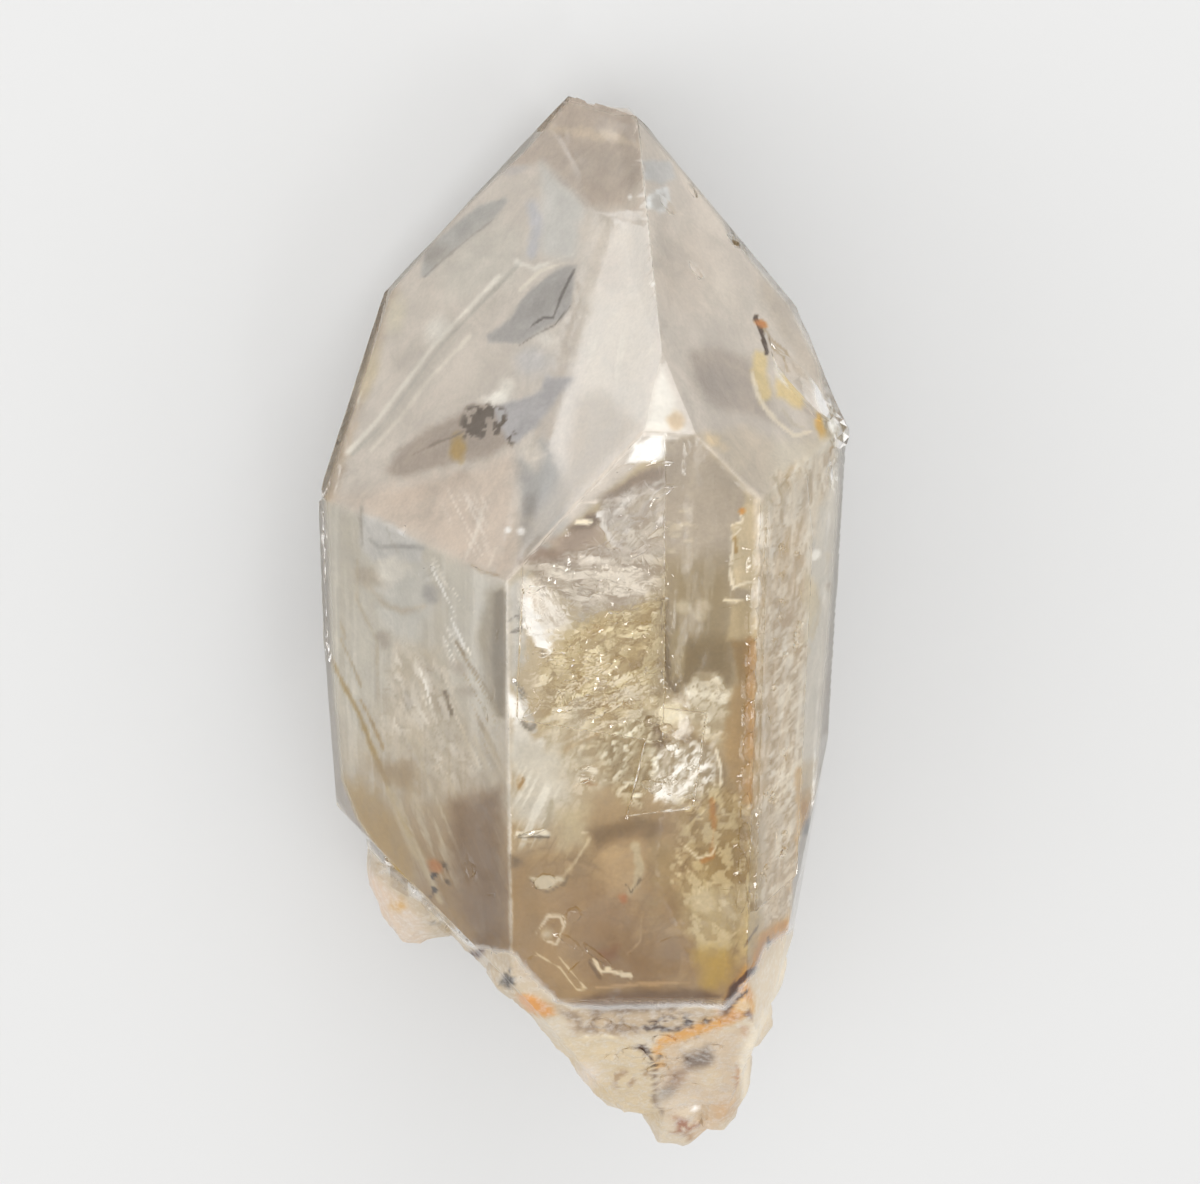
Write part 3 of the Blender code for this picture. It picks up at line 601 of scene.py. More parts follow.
     (198, 186, 162), 0.88, 0.7),
    ("spot", (684, 607), (7, 5, 0), 0.6, 0.4, (196, 184, 158), 0.9, 0.7),
    ("spot", (702, 606), (6, 6, 0), 0.6, 0.4, (198, 184, 160), 0.9, 0.7),
    ("spot", (701, 616), (5, 4, 0), 0.6, 0.4, (192, 178, 150), 0.9, 0.7),
    # White clumps under the olive smoke, and the dark wedge between them.
    ("patch", ((686, 700), (700, 684), (718, 672), (730, 690), (728, 724), (716, 744),
               (700, 740), (690, 722)), None, 7, 7, (208, 198, 172), 0.92, 0.9),
    ("facet", ((684, 690), (716, 670), (732, 690), (726, 736), (700, 744)),
     (9, 12.0, 70), 6, 5, ((158, 140, 108), (246, 240, 222)), 0.94, 0.8),
    ("patch", ((652, 716), (664, 704), (680, 702), (690, 716), (680, 730), (660, 728)),
     None, 5, 5, (236, 226, 198), 0.95, 1.0),
    ("patch", ((643, 712), (654, 714), (664, 736), (680, 742), (664, 754), (652, 746)),
     None, 4, 2, (108, 86, 56), 0.95, 0.95),
    ("stroke", ((664, 752), (690, 738), (712, 752), (722, 776), (718, 796)), 9, 5, 2,
     (140, 120, 88), 0.93, 0.9),
    ("patch", ((652, 756), (672, 742), (700, 744), (716, 766), (706, 796), (676, 804),
               (650, 796), (646, 780)), None, 6, 7, (222, 213, 192), 0.93, 1.0),
    ("facet", ((644, 754), (676, 738), (714, 744), (716, 798), (676, 808), (646, 800)),
     (9, 6.0, -50), 6, 7, ((140, 122, 92), (255, 254, 250)), 0.96, 0.95),
    ("feather", ((648, 756), (712, 744), (712, 800), (648, 806)), (14, 5.0, -50), 5, 6,
     (252, 250, 244), 0.98, 1.0),
    ("feather", ((650, 756), (712, 744), (712, 800), (648, 800)), (10, 4.0, -50), 5, 6,
     (150, 134, 106), 0.95, 0.7),
    ("patch", ((654, 786), (676, 790), (690, 784), (676, 802), (652, 800)), None, 3, 4,
     (252, 251, 247), 0.98, 0.95),
    ("stroke", ((716, 750), (720, 766), (721, 782), (714, 800), (702, 814), (696, 818)),
     2.4, 1.6, 1.0, (240, 232, 212), 0.96, 0.95),
    ("feather", ((598, 740), (650, 716), (660, 760), (640, 790), (604, 770)),
     (12, 4.0, -30), 7, 6, (240, 234, 212), 0.95, 0.95),
    ("feather", ((600, 750), (646, 730), (650, 790), (610, 780)), (10, 3.4, -26), 7, 5,
     (132, 110, 72), 0.93, 0.65),
    ("patch", ((632, 816), (648, 816), (648, 832), (634, 824)), None, 3, 4,
     (220, 206, 176), 0.94, 0.9),
    ("facet", ((596, 740), (646, 712), (656, 760), (644, 812), (606, 780)),
     (9, 5.0, -28), 8, 7, ((128, 106, 66), (250, 246, 226)), 0.94, 0.85),
    ("facet", ((676, 800), (756, 770), (756, 960), (700, 950), (672, 880)),
     (12, 8.0, -60), 12, 5, ((118, 92, 46), (220, 204, 158)), 0.92, 0.7),
    ("facet", ((514, 760), (580, 700), (604, 780), (560, 850), (514, 850)),
     (16, 7.0, -56), 12, 4, ((178, 164, 136), (234, 228, 212)), 0.86, 0.55),
    ("facet", ((520, 830), (680, 810), (690, 980), (560, 980)),
     (26, 14.0, -66), 16, 4, ((122, 96, 58), (186, 160, 116)), 0.9, 0.5),
    # The front face's left: pale bars and streaks.
    ("patch", ((512, 740), (560, 745), (572, 800), (540, 830), (512, 820)), None, 14, 5,
     (204, 198, 184), 0.82, 0.9),
    ("stroke", ((586, 770), (595, 771)), 6, 3, 1, (232, 224, 206), 0.95, 0.95),
    ("stroke", ((580, 779), (593, 779)), 5, 2.4, 1, (244, 238, 224), 0.96, 0.95),
    ("stroke", ((583, 783), (596, 784)), 2.4, 2, 0.8, (140, 100, 56), 0.95, 0.8),
    ("spot", (521, 782), (3.5, 7, 0), 0.5, 0.4, (150, 112, 56), 0.92, 0.8),
    ("feather", ((516, 760), (560, 790), (545, 840), (518, 850)), (50, 4.0, -62), 8, 3,
     (228, 224, 212), 0.88, 0.75),
    ("stroke", ((552, 802), (548, 820), (540, 838)), 4, 4, 1, (160, 148, 122), 0.88, 0.7),
    ("patch", ((555, 810), (590, 800), (585, 845), (560, 850)), None, 12, 4,
     (192, 176, 140), 0.88, 0.8),
    ("stroke", ((518, 834), (548, 834)), 4.4, 2, 0.6, (226, 218, 198), 0.96, 0.95),
    ("stroke", ((519, 836.5), (549, 836.5)), 2, 1.4, 0.5, (92, 78, 58), 0.96, 0.9),
    ("stroke", ((521, 842), (532, 841)), 2.4, 1.6, 0.6, (196, 180, 150), 0.95, 0.8),
    ("stroke", ((582, 833), (588, 832)), 2.4, 1.6, 0.6, (214, 198, 166), 0.95, 0.8),
    ("patch", ((511, 855), (520, 858), (524, 864), (513, 866)), None, 3, 3,
     (70, 56, 40), 0.95, 0.8),
    ("stroke", ((590, 838), (575, 862), (560, 880)), 3, 3, 1.2, (206, 188, 152), 0.88, 0.8),
    # The brown smooth part below, with folded shades and a light column.
    ("patch", ((590, 830), (645, 816), (665, 826), (655, 840), (620, 838), (598, 852)),
     None, 6, 3, (118, 94, 60), 0.94, 0.9),
    ("patch", ((600, 850), (636, 836), (650, 850), (636, 900), (604, 900)), None, 10, 4,
     (178, 150, 108), 0.9, 0.85),
    ("patch", ((652, 840), (676, 836), (676, 880), (652, 910)), None, 10, 4,
     (150, 126, 82), 0.9, 0.85),
    ("stroke", ((636, 846), (639, 866), (636, 884), (630, 892)), 8, 4, 1.6, (188, 172, 138),
     0.93, 0.9),
    ("stroke", ((626, 884), (631, 892), (640, 880)), 3, 2, 1.2, (88, 70, 44), 0.95, 0.8),
    ("spot", (560, 905), (30, 16, 10), 0.9, 0.4, (164, 136, 96), 0.9, 0.7),
    ("patch", ((512, 858), (560, 862), (566, 890), (520, 900)), None, 10, 4,
     (150, 124, 86), 0.9, 0.7),
    ("spot", (600, 920), (44, 30, 0), 0.9, 0.4, (138, 108, 70), 0.92, 0.8),
    ("spot", (548, 960), (36, 26, 20), 0.9, 0.4, (158, 130, 90), 0.9, 0.8),
    ("spot", (640, 960), (44, 26, 0), 0.9, 0.4, (126, 97, 60), 0.93, 0.8),
    ("stroke", ((642, 920), (640, 942), (628, 954)), 2.4, 2, 1, (170, 142, 104), 0.9, 0.7),
    ("patch", ((690, 925), (735, 900), (748, 930), (735, 950), (700, 965)), None, 10, 5,
     (172, 150, 102), 0.9, 0.85),
    ("spot", (716, 905), (26, 22, 0), 0.8, 0.5, (176, 156, 112), 0.9, 0.85),
    ("spot", (702, 900), (10, 9, 0), 0.7, 0.6, (206, 190, 154), 0.93, 0.8),
    ("patch", ((690, 830), (744, 800), (750, 880), (700, 880)), None, 12, 6,
     (140, 114, 62), 0.92, 0.8),
    ("stroke", ((712, 800), (714, 826), (712, 856), (704, 860)), 4, 3, 1.8, (166, 110, 40),
     0.93, 0.7),
    ("stroke", ((685, 846), (698, 858), (712, 854), (716, 846)), 2, 1.6, 0.8,
     (226, 214, 186), 0.95, 0.8),
    ("stroke", ((738, 894), (748, 904), (740, 930), (728, 938), (716, 926)), 1.8, 1.4, 0.8,
     (222, 206, 168), 0.94, 0.7),
    ("crumbs", ((690, 800), (752, 790), (752, 950), (700, 950), (664, 880)), None, 10, 4,
     (222, 208, 172), 0.93, 0.5),
    ("patch", ((694, 950), (730, 950), (735, 985), (705, 990)), None, 10, 4,
     (172, 140, 58), 0.92, 0.85),
    # The end of the front face: etched tongues, a row of dots and a dark brown band.
    ("stroke", ((536, 934), (548, 916), (560, 916), (564, 926), (556, 944), (544, 940)),
     3, 2, 1, (214, 200, 174), 0.93, 0.9),
    ("spot", (546, 934), (7, 7, 0), 0.6, 0.5, (196, 184, 160), 0.93, 0.85),
    ("stroke", ((530, 880), (540, 890), (548, 892), (564, 884), (568, 876)), 2, 1.6, 0.8,
     (110, 92, 66), 0.95, 0.8),
    ("patch", ((529, 877), (560, 876), (566, 880), (548, 890), (540, 888)), None, 2, 1,
     (208, 196, 170), 0.95, 0.95),
    ("stroke", ((537, 954), (560, 968), (577, 990), (585, 988), (560, 958)), 2, 1.6, 0.8,
     (212, 196, 162), 0.93, 0.8),
    ("stroke", ((593, 962), (602, 972), (607, 970), (620, 974), (630, 976)), 2.4, 1.6, 1.2,
     (232, 218, 188), 0.95, 0.85),
    ("stroke", ((590, 962), (600, 978)), 3, 2, 0.8, (98, 74, 46), 0.93, 0.7),
    ("patch", ((572, 1002), (600, 992), (640, 988), (700, 990), (722, 996), (700, 1006),
               (640, 1010), (600, 1010)), None, 5, 2, (100, 74, 46), 0.96, 1.0),
    ("stroke", ((596, 988), (640, 984), (690, 982)), 2, 1.6, 0.8, (182, 150, 106), 0.94, 0.7),
    ("patch", ((596, 950), (616, 946), (618, 960), (604, 964)), None, 6, 5,
     (116, 74, 42), 0.93, 0.6),
    ("spot", (623, 897), (4, 4, 0), 0.6, 0.8, (164, 96, 50), 0.93, 0.7),
    # The milky, stained strip beside the front face, and the pitted right prism face.
    ("patch", ((741, 508), (746, 503), (756, 505), (756, 590), (735, 588), (731, 575),
               (732, 548), (731, 524), (742, 520)), None, 2, 1.4, (198, 182, 150), 0.92, 1.0),
    ("stroke", ((740, 513), (743, 521), (732, 525), (741, 529), (733, 536), (732, 552),
                (730, 572), (733, 588), (745, 583), (754, 582)), 2, 1.4, 0.8,
     (232, 222, 200), 0.95, 0.9),
    ("stroke", ((735, 538), (736, 552)), 3, 2, 0.8, (158, 126, 66), 0.93, 0.85),
    ("spot", (742, 511), (3, 3, 0), 0.5, 0.4, (204, 146, 70), 0.95, 0.95),
    ("stroke", ((725, 600), (738, 601), (750, 598)), 2.2, 1.4, 0.8, (232, 220, 192), 0.95, 0.9),
    ("patch", ((730, 602), (756, 600), (756, 640), (726, 642)), None, 3, 2,
     (178, 160, 124), 0.92, 0.9),
    ("patch", ((730, 640), (756, 640), (756, 690), (742, 690)), None, 4, 3,
     (140, 112, 66), 0.93, 0.9),
    ("patch", ((735, 688), (757, 680), (757, 800), (740, 800), (722, 760)), None, 6, 5,
     (162, 134, 90), 0.93, 0.9),
    ("stroke", ((752, 640), (750, 700), (752, 760), (751, 800)), 10, 7, 3, (170, 130, 76),
     0.93, 0.75),
    ("feather", ((754, 500), (776, 500), (776, 900), (756, 900)), (46, 5.0, 91), 4, 2,
     (226, 214, 196), 0.9, 0.85),
    ("stroke", ((762, 516), (763, 530), (762, 546)), 8, 3, 1, (236, 230, 220), 0.96, 1.0),
    ("spot", (765, 551), (5, 6, 20), 0.6, 0.4, (178, 172, 166), 0.92, 0.9),
    ("spot", (775, 530), (2.6, 5, 0), 0.5, 0.3, (238, 228, 212), 0.95, 0.9),
    ("spot", (772, 561), (3, 4, 0), 0.5, 0.3, (240, 232, 216), 0.95, 0.9),
    ("spot", (771, 571), (4, 5, 0), 0.5, 0.3, (238, 228, 212), 0.95, 0.9),
    ("spot", (770, 583), (4, 6, 0), 0.5, 0.3, (238, 228, 210), 0.95, 0.9),
    ("spot", (778, 589), (3, 4, 0), 0.5, 0.3, (234, 224, 206), 0.95, 0.8),
    ("spot", (772, 610), (3.4, 7, 10), 0.5, 0.3, (244, 236, 220), 0.95, 0.9),
    ("spot", (762, 600), (4, 14, 0), 0.6, 0.4, (236, 226, 210), 0.93, 0.8),
    ("facet", ((776, 470), (838, 450), (806, 560), (803, 640), (793, 726), (796, 860),
               (776, 920), (757, 900), (757, 560)), (15, 5.0, 104), 6, 3,
     ((172, 148, 110), (236, 228, 212)), 0.9, 0.7),
    ("facet", ((766, 600), (802, 580), (800, 740), (796, 930), (764, 930)), (11, 4.0, 128),
     6, 4, ((160, 132, 90), (250, 244, 230)), 0.93, 0.6),
    ("feather", ((776, 470), (838, 450), (803, 640), (793, 726), (796, 860), (776, 900)),
     (30, 5.0, 96), 6, 3, (226, 216, 198), 0.88, 0.7),
    ("feather", ((776, 520), (812, 520), (800, 700), (796, 900), (776, 900)),
     (22, 4.0, 104), 6, 3, (176, 152, 116), 0.9, 0.7),
    ("stroke", ((838, 442), (822, 480), (806, 519), (804, 580), (803, 650), (793, 726),
                (792, 776), (795, 860)), 3, 2.4, 1.4, (232, 224, 208), 0.92, 0.85),
    ("stroke", ((808, 584), (816, 592), (820, 610), (812, 640), (806, 660)), 2.6, 2, 1,
     (188, 172, 140), 0.9, 0.7),
    ("patch", ((803, 572), (812, 580), (819, 600), (812, 636), (800, 640)), None, 4, 3,
     (200, 186, 154), 0.88, 0.8),
    ("stroke", ((828, 556), (826, 575)), 5, 4, 2, (190, 180, 160), 0.85, 0.8),
    ("spot", (829, 585), (5, 3, -30), 0.6, 0.4, (160, 150, 132), 0.9, 0.9),
    ("spot", (831, 590), (4, 4, 0), 0.6, 0.4, (176, 166, 148), 0.88, 0.8),
    ("spot", (815, 556), (4, 5, 30), 0.5, 0.4, (250, 248, 240), 0.97, 0.95),
    ("feather", ((808, 640), (830, 640), (826, 780), (800, 880), (796, 780)),
     (60, 5.0, 94), 5, 2, (224, 220, 210), 0.8, 0.6),
    ("patch", ((798, 792), (812, 786), (812, 820), (800, 836)), None, 4, 3,
     (158, 118, 62), 0.93, 0.95),
    ("patch", ((794, 760), (820, 760), (812, 800), (796, 800)), None, 6, 3,
     (186, 166, 130), 0.85, 0.7),
    ("feather", ((770, 640), (800, 640), (796, 930), (770, 940)), (14, 4.0, 130), 6, 3,
     (240, 232, 214), 0.93, 0.6),
    ("stroke", ((796, 770), (795, 830), (794, 900), (790, 924)), 8, 6, 3, (200, 160, 96),
     0.9, 0.75),
    # Iron at the end of the right faces, with dark cracks through it.
    ("patch", ((744, 968), (760, 936), (778, 924), (797, 916), (797, 940), (780, 960),
               (762, 978), (745, 1000), (722, 1010), (728, 985)), None, 5, 4,
     (196, 138, 46), 0.96, 1.0),
    ("spot", (776, 932), (16, 9, -40), 0.7, 0.5, (208, 160, 84), 0.93, 0.7),
    ("patch", ((738, 905), (760, 916), (752, 950), (738, 965)), None, 8, 4,
     (190, 166, 112), 0.92, 0.8),
    ("stroke", ((768, 938), (769, 950), (772, 940)), 2.6, 1.4, 1.2, (66, 36, 12), 0.98, 1.0),
    ("stroke", ((795, 926), (786, 936), (780, 948), (770, 958), (760, 968), (748, 974),
                (738, 984), (730, 1000), (724, 1010)), 3.4, 1.6, 1.8, (84, 48, 18),
     0.98, 1.0),
    ("patch", ((728, 985), (736, 978), (738, 990), (728, 1006), (724, 1004)), None, 2, 2.4,
     (70, 42, 20), 0.98, 0.95),
    ("stroke", ((758, 926), (750, 938), (745, 946)), 2, 1.4, 0.8, (96, 74, 44), 0.95, 0.8),
)


# The broken root's own milk, iron and crumbs, on its skin.
ROOT_MARKS = (
    # The nub behind the lower left, and the olive flange beside it.
    ("patch", ((355, 840), (430, 905), (432, 955), (395, 955), (355, 880)), None, 10, 4,
     (196, 174, 150), 0.9, 1.0),
    ("spot", (376, 892), (12, 22, -20), 0.8, 0.3, (206, 178, 150), 0.9, 0.8),
    ("spot", (414, 928), (16, 12, 0), 0.8, 0.3, (192, 174, 152), 0.92, 0.8),
    ("spot", (401, 904), (9, 5, -20), 0.7, 0.5, (190, 142, 58), 0.93, 0.9),
    ("patch", ((336, 800), (400, 876), (470, 944), (512, 956), (562, 1004), (550, 1020),
               (500, 1000), (440, 950), (420, 915), (350, 850)), None, 5, 3,
     (166, 141, 96), 0.78, 0.95),
    # A painted glint: a small pale spot of reflected light on the flange.
    ("spot", (411, 877), (4, 9, -30), 0.6, 0.5, (232, 220, 196), 0.9, 0.8),
    ("spot", (440, 915), (14, 7, 40), 0.7, 0.5, (196, 178, 138), 0.82, 0.8),
    ("crumbs", ((424, 866), (436, 868), (434, 900), (424, 890)), None, 3, 3,
     (58, 40, 22), 0.96, 0.9),
    ("spot", (434, 868), (6, 5, 20), 0.5, 0.7, (92, 60, 28), 0.95, 0.8),
    ("crumbs", ((428, 908), (446, 906), (450, 922), (432, 924)), None, 3, 2,
     (70, 52, 28), 0.95, 0.9),
    ("patch", ((469, 952), (478, 949), (490, 945), (484, 953), (476, 959), (468, 957)),
     None, 1.6, 2.4, (62, 28, 12), 0.97, 1.0),
    ("crumbs", ((488, 972), (512, 970), (516, 988), (500, 992)), None, 3, 1.4,
     (42, 30, 16), 0.98, 1.0),
    ("spot", (508, 980), (4, 6, -30), 0.4, 0.9, (44, 30, 14), 0.97, 0.9),
    ("patch", ((517, 996), (528, 993), (552, 1006), (556, 1016), (540, 1016),
               (524, 1006)), None, 4, 2.4, (196, 128, 28), 0.96, 1.0),
    ("stroke", ((512, 952), (530, 968), (552, 992), (572, 1010), (596, 1034)), 5, 4, 1,
     (196, 180, 146), 0.85, 0.9),
    ("stroke", ((522, 962), (546, 986), (566, 1008)), 2, 1.6, 0.8, (122, 98, 62),
     0.9, 0.8),
    # The beige shelf under the front face, with its rows of black crumbs.
    ("patch", ((556, 1006), (600, 1010), (700, 1006), (730, 1012), (720, 1030),
               (640, 1036), (575, 1036)), None, 4, 2, (168, 142, 104), 0.9, 1.0),
    ("patch", ((574, 1004), (640, 1000), (700, 1002), (660, 1012), (600, 1012)), None, 4, 2,
     (112, 86, 54), 0.93, 0.95),
    ("crumbs", ((640, 1020), (700, 1014), (716, 1018), (690, 1032), (645, 1032)), None,
     2.4, 1, (56, 34, 16), 0.97, 1.0),
    ("crumbs", ((560, 1012), (700, 1008), (660, 1034), (580, 1034)), None, 3, 1,
     (108, 80, 48), 0.93, 0.6),
    ("stroke", ((646, 1028), (658, 1026), (668, 1030), (680, 1028), (692, 1024)), 2.6,
     1.4, 1.8, (54, 32, 14), 0.98, 0.9),
    ("stroke", ((582, 1037), (600, 1036), (628, 1038)), 2.4, 1.6, 0.6, (222, 204, 168),
     0.93, 0.95),
    # The yellowish left body of the root, with its pearly rim.
    ("patch", ((560, 1038), (630, 1040), (652, 1062), (656, 1100), (664, 1132),
               (626, 1108), (586, 1094), (556, 1064)), None, 5, 2, (186, 162, 116),
     0.86, 1.0),
    ("spot", (585, 1078), (15, 15, 20), 0.8, 0.3, (208, 190, 168), 0.9, 0.95),
    ("spot", (566, 1052), (12, 12, 0), 0.8, 0.3, (198, 178, 142), 0.88, 0.8),
    ("spot", (606, 1052), (22, 9, 5), 0.8, 0.3, (194, 172, 130), 0.86, 0.7),
    ("crumbs", ((610, 1070), (650, 1072), (654, 1094), (618, 1090)), None, 4, 2,
     (136, 102, 56), 0.93, 0.8),
    ("stroke", ((632, 1044), (645, 1049), (653, 1060), (655, 1072)), 4, 1.6, 1.4,
     (74, 46, 20), 0.98, 1.0),
    ("stroke", ((655, 1068), (656, 1082), (654, 1098), (663, 1114)), 2.2, 1.6, 1.2,
     (96, 66, 34), 0.97, 0.9),
    # The orange pocket and the bands that run from it to the right corner.
    ("patch", ((652, 1046), (668, 1050), (683, 1050), (681, 1064), (670, 1069),
               (658, 1068)), None, 3, 1.6, (202, 140, 36), 0.97, 1.0),
    ("spot", (660.5, 1055.5), (2.4, 2.4, 0), 0.4, 0.2, (30, 18, 8), 1.0, 1.0),
    ("stroke", ((664, 1044), (690, 1034), (711, 1027), (730, 1018), (748, 1004)), 14, 7,
     2.4, (196, 136, 40), 0.96, 0.95),
    ("stroke", ((677, 1048), (692, 1039), (710, 1030)), 2.2, 1.6, 1.4, (92, 58, 22),
     0.97, 0.9),
    ("patch", ((718, 990), (748, 984), (758, 1000), (750, 1016), (728, 1022),
               (716, 1008)), None, 5, 4, (190, 128, 40), 0.95, 0.9),
    ("patch", ((726, 986), (744, 982), (738, 1000), (728, 1010), (722, 1012)), None, 3, 4,
     (78, 48, 22), 0.97, 0.9),
    ("stroke", ((724, 1018), (736, 1018), (748, 1014), (752, 1020)), 2.6, 1.6, 1.8,
     (84, 42, 14), 0.97, 0.95),
    ("stroke", ((729, 1008), (738, 998), (748, 990)), 2.2, 1.4, 1.6, (60, 36, 16),
     0.98, 0.9),
    ("spot", (742, 1006), (8, 5, -30), 0.6, 0.5, (206, 184, 150), 0.93, 0.7),
    ("crumbs", ((742, 1026), (756, 1028), (750, 1046), (742, 1040)), None, 3, 2,
     (150, 88, 24), 0.95, 1.0),
    # The right body of the root: brown smoke, pearl with two painted glints, and rusty specks.
    ("patch", ((664, 1044), (740, 1030), (742, 1100), (705, 1144), (672, 1130),
               (656, 1090)), None, 6, 3, (180, 152, 112), 0.84, 0.9),
    ("patch", ((682, 1044), (702, 1042), (704, 1052), (686, 1056)), None, 3, 2,
     (200, 178, 146), 0.92, 0.95),
    ("patch", ((684, 1054), (706, 1048), (716, 1058), (704, 1072), (686, 1070)), None,
     6, 4, (98, 76, 54), 0.94, 1.0),
    ("patch", ((668, 1072), (690, 1066), (684, 1084), (664, 1096)), None, 5, 4,
     (128, 96, 66), 0.93, 0.9),
    ("spot", (666, 1094), (9, 7, -30), 0.7, 0.5, (126, 110, 90), 0.93, 0.85),
    ("spot", (684, 1108), (18, 11, 10), 0.8, 0.3, (200, 182, 156), 0.92, 0.95),
    # Two painted glints: small white spots of reflected light on the pearl.
    ("spot", (693, 1108.5), (2.6, 1.6, -20), 0.4, 0.2, (253, 252, 250), 1.0, 1.0),
    ("spot", (672.5, 1103), (1.6, 1.6, 0), 0.4, 0.2, (248, 246, 242), 1.0, 0.9),
    ("spot", (711, 1078), (10, 8, 20), 0.8, 0.4, (196, 172, 132), 0.9, 0.8),
    ("stroke", ((737, 1068), (738, 1082), (736, 1092)), 3, 2, 1.8, (150, 98, 50),
     0.94, 0.85),
    ("spot", (722, 1112), (14, 8, -20), 0.8, 0.5, (176, 134, 80), 0.9, 0.8),
    ("crumbs", ((676, 1118), (700, 1124), (704, 1146), (676, 1140)), None, 3, 2,
     (126, 66, 26), 0.95, 0.85),
    ("stroke", ((672, 1133), (688, 1134), (694, 1142)), 3, 2, 1.4, (130, 84, 36), 0.94, 0.8),
    ("spot", (704, 1132), (12, 9, 0), 0.8, 0.4, (190, 160, 122), 0.9, 0.8),
    # The milky flange down the right side.
    ("patch", ((760, 972), (797, 930), (800, 960), (786, 1000), (770, 1030), (752, 1060),
               (744, 1100), (738, 1060), (752, 1010)), None, 5, 3, (204, 186, 156),
     0.85, 0.95),
    ("stroke", ((796, 940), (784, 966), (772, 1004), (758, 1030), (744, 1060),
                (745, 1108)), 7, 5, 1.4, (218, 204, 178), 0.86, 0.9),
)


def lay_marks(art, marks):
    """Lay named marks on a canvas in turn, each as its kind of mask."""
    for kind, shape, size, soft, ragged, colour, cover, strength in marks:
        if kind == "spot":
            mask = art.spot(shape, size[:2], size[2], soft, ragged)
        elif kind == "stroke":
            mask = art.stroke(shape, size, soft, ragged)
        else:
            mask = art.patch(shape, soft, ragged)
        if kind == "feather":
            mask = mask * art.streaks(size[0], size[1], size[2], int(size[0] + size[1]))
        # Facet marks paint light and shade: each facet between its dark and light colour as it
        # catches the light.
        if kind == "facet":
            dark, light = np.array(colour, float)
            shade = art.facets(size[0], size[1], size[2], int(size[0] + size[1]))
            colour = dark + (light - dark) * shade[..., None]
        if kind == "crumbs":
            mask = mask * ease(art.grain + 0.6 * art.wander, 0.12, 0.3)
        art.lay(mask * strength, colour, cover)


def paint_quartz(u, v):
    """Lay on what shows in and under the crystal's near faces, part by part."""
    art = Canvas(u, v, (213, 204, 193), 0.66)
    lay, patch = art.lay, art.patch

    # Broad tones: the clear upper half, the smokier middle and the brown lower half.
    lay(patch([(318, 496), (506, 581), (506, 960), (318, 960)], 5, 1),
        (208, 202, 187), 0.58)
    lay(patch([(508, 582), (664, 440), (700, 436), (757, 500), (757, 1010), (508, 1010)],
              5, 1), (188, 172, 142), 0.8)
    lay(ease(v + 0.06 * u, 690, 930) * patch([(318, 640), (757, 600), (757, 1012),
                                             (318, 1012)], 20, 2), (150, 122, 80), 0.9)
    lay(patch([(757, 500), (846, 420), (842, 700), (797, 930), (757, 940)], 5, 1),
        (207, 192, 167), 0.8)
    lay(patch([(808, 520), (848, 430), (844, 700), (798, 900), (794, 770)], 5, 1),
        (210, 204, 191), 0.66)
    lay_marks(art, MARKS)
    return art.colour, art.cover


# Making pieces

def add_piece(name, verts, faces, finish, tint=None, cover=None, smooth=True):
    """Make a mesh piece from points in millimetres, and give it its attributes."""
    mesh = bpy.data.meshes.new(name)
    mesh.from_pydata((np.asarray(verts) * MM).tolist(), [], np.asarray(faces).tolist())
    mesh.polygons.foreach_set("use_smooth", np.full(len(mesh.polygons), smooth))
    if tint is not None:
        light = np.clip(np.asarray(tint) / 255.0, 0.0, 1.0)
        linear = np.where(light < 0.04045, light / 12.92, ((light + 0.055) / 1.055) ** 2.4)
        layer = mesh.color_attributes.new("tint", "FLOAT_COLOR", "POINT")
        layer.data.foreach_set("color", np.column_stack(
            [linear.reshape(-1, 3), np.ones(len(mesh.vertices))]).ravel())
    if cover is not None:
        layer = mesh.attributes.new("cover", "FLOAT", "POINT")
        layer.data.foreach_set("value", np.asarray(cover, float).ravel())
    mesh.materials.append(finish)
    mesh.update()
    piece = bpy.data.objects.new(name, mesh)
    bpy.context.scene.collection.objects.link(piece)
    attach(piece, "root")
    return piece


def grid_faces(rows, columns):
    """The four-cornered faces of a grid of points, row by row."""
    index = np.arange(rows * columns).reshape(rows, columns)
    return np.stack([index[:-1, :-1], index[1:, :-1], index[1:, 1:], index[:-1, 1:]],
                    axis=-1).reshape(-1, 4)


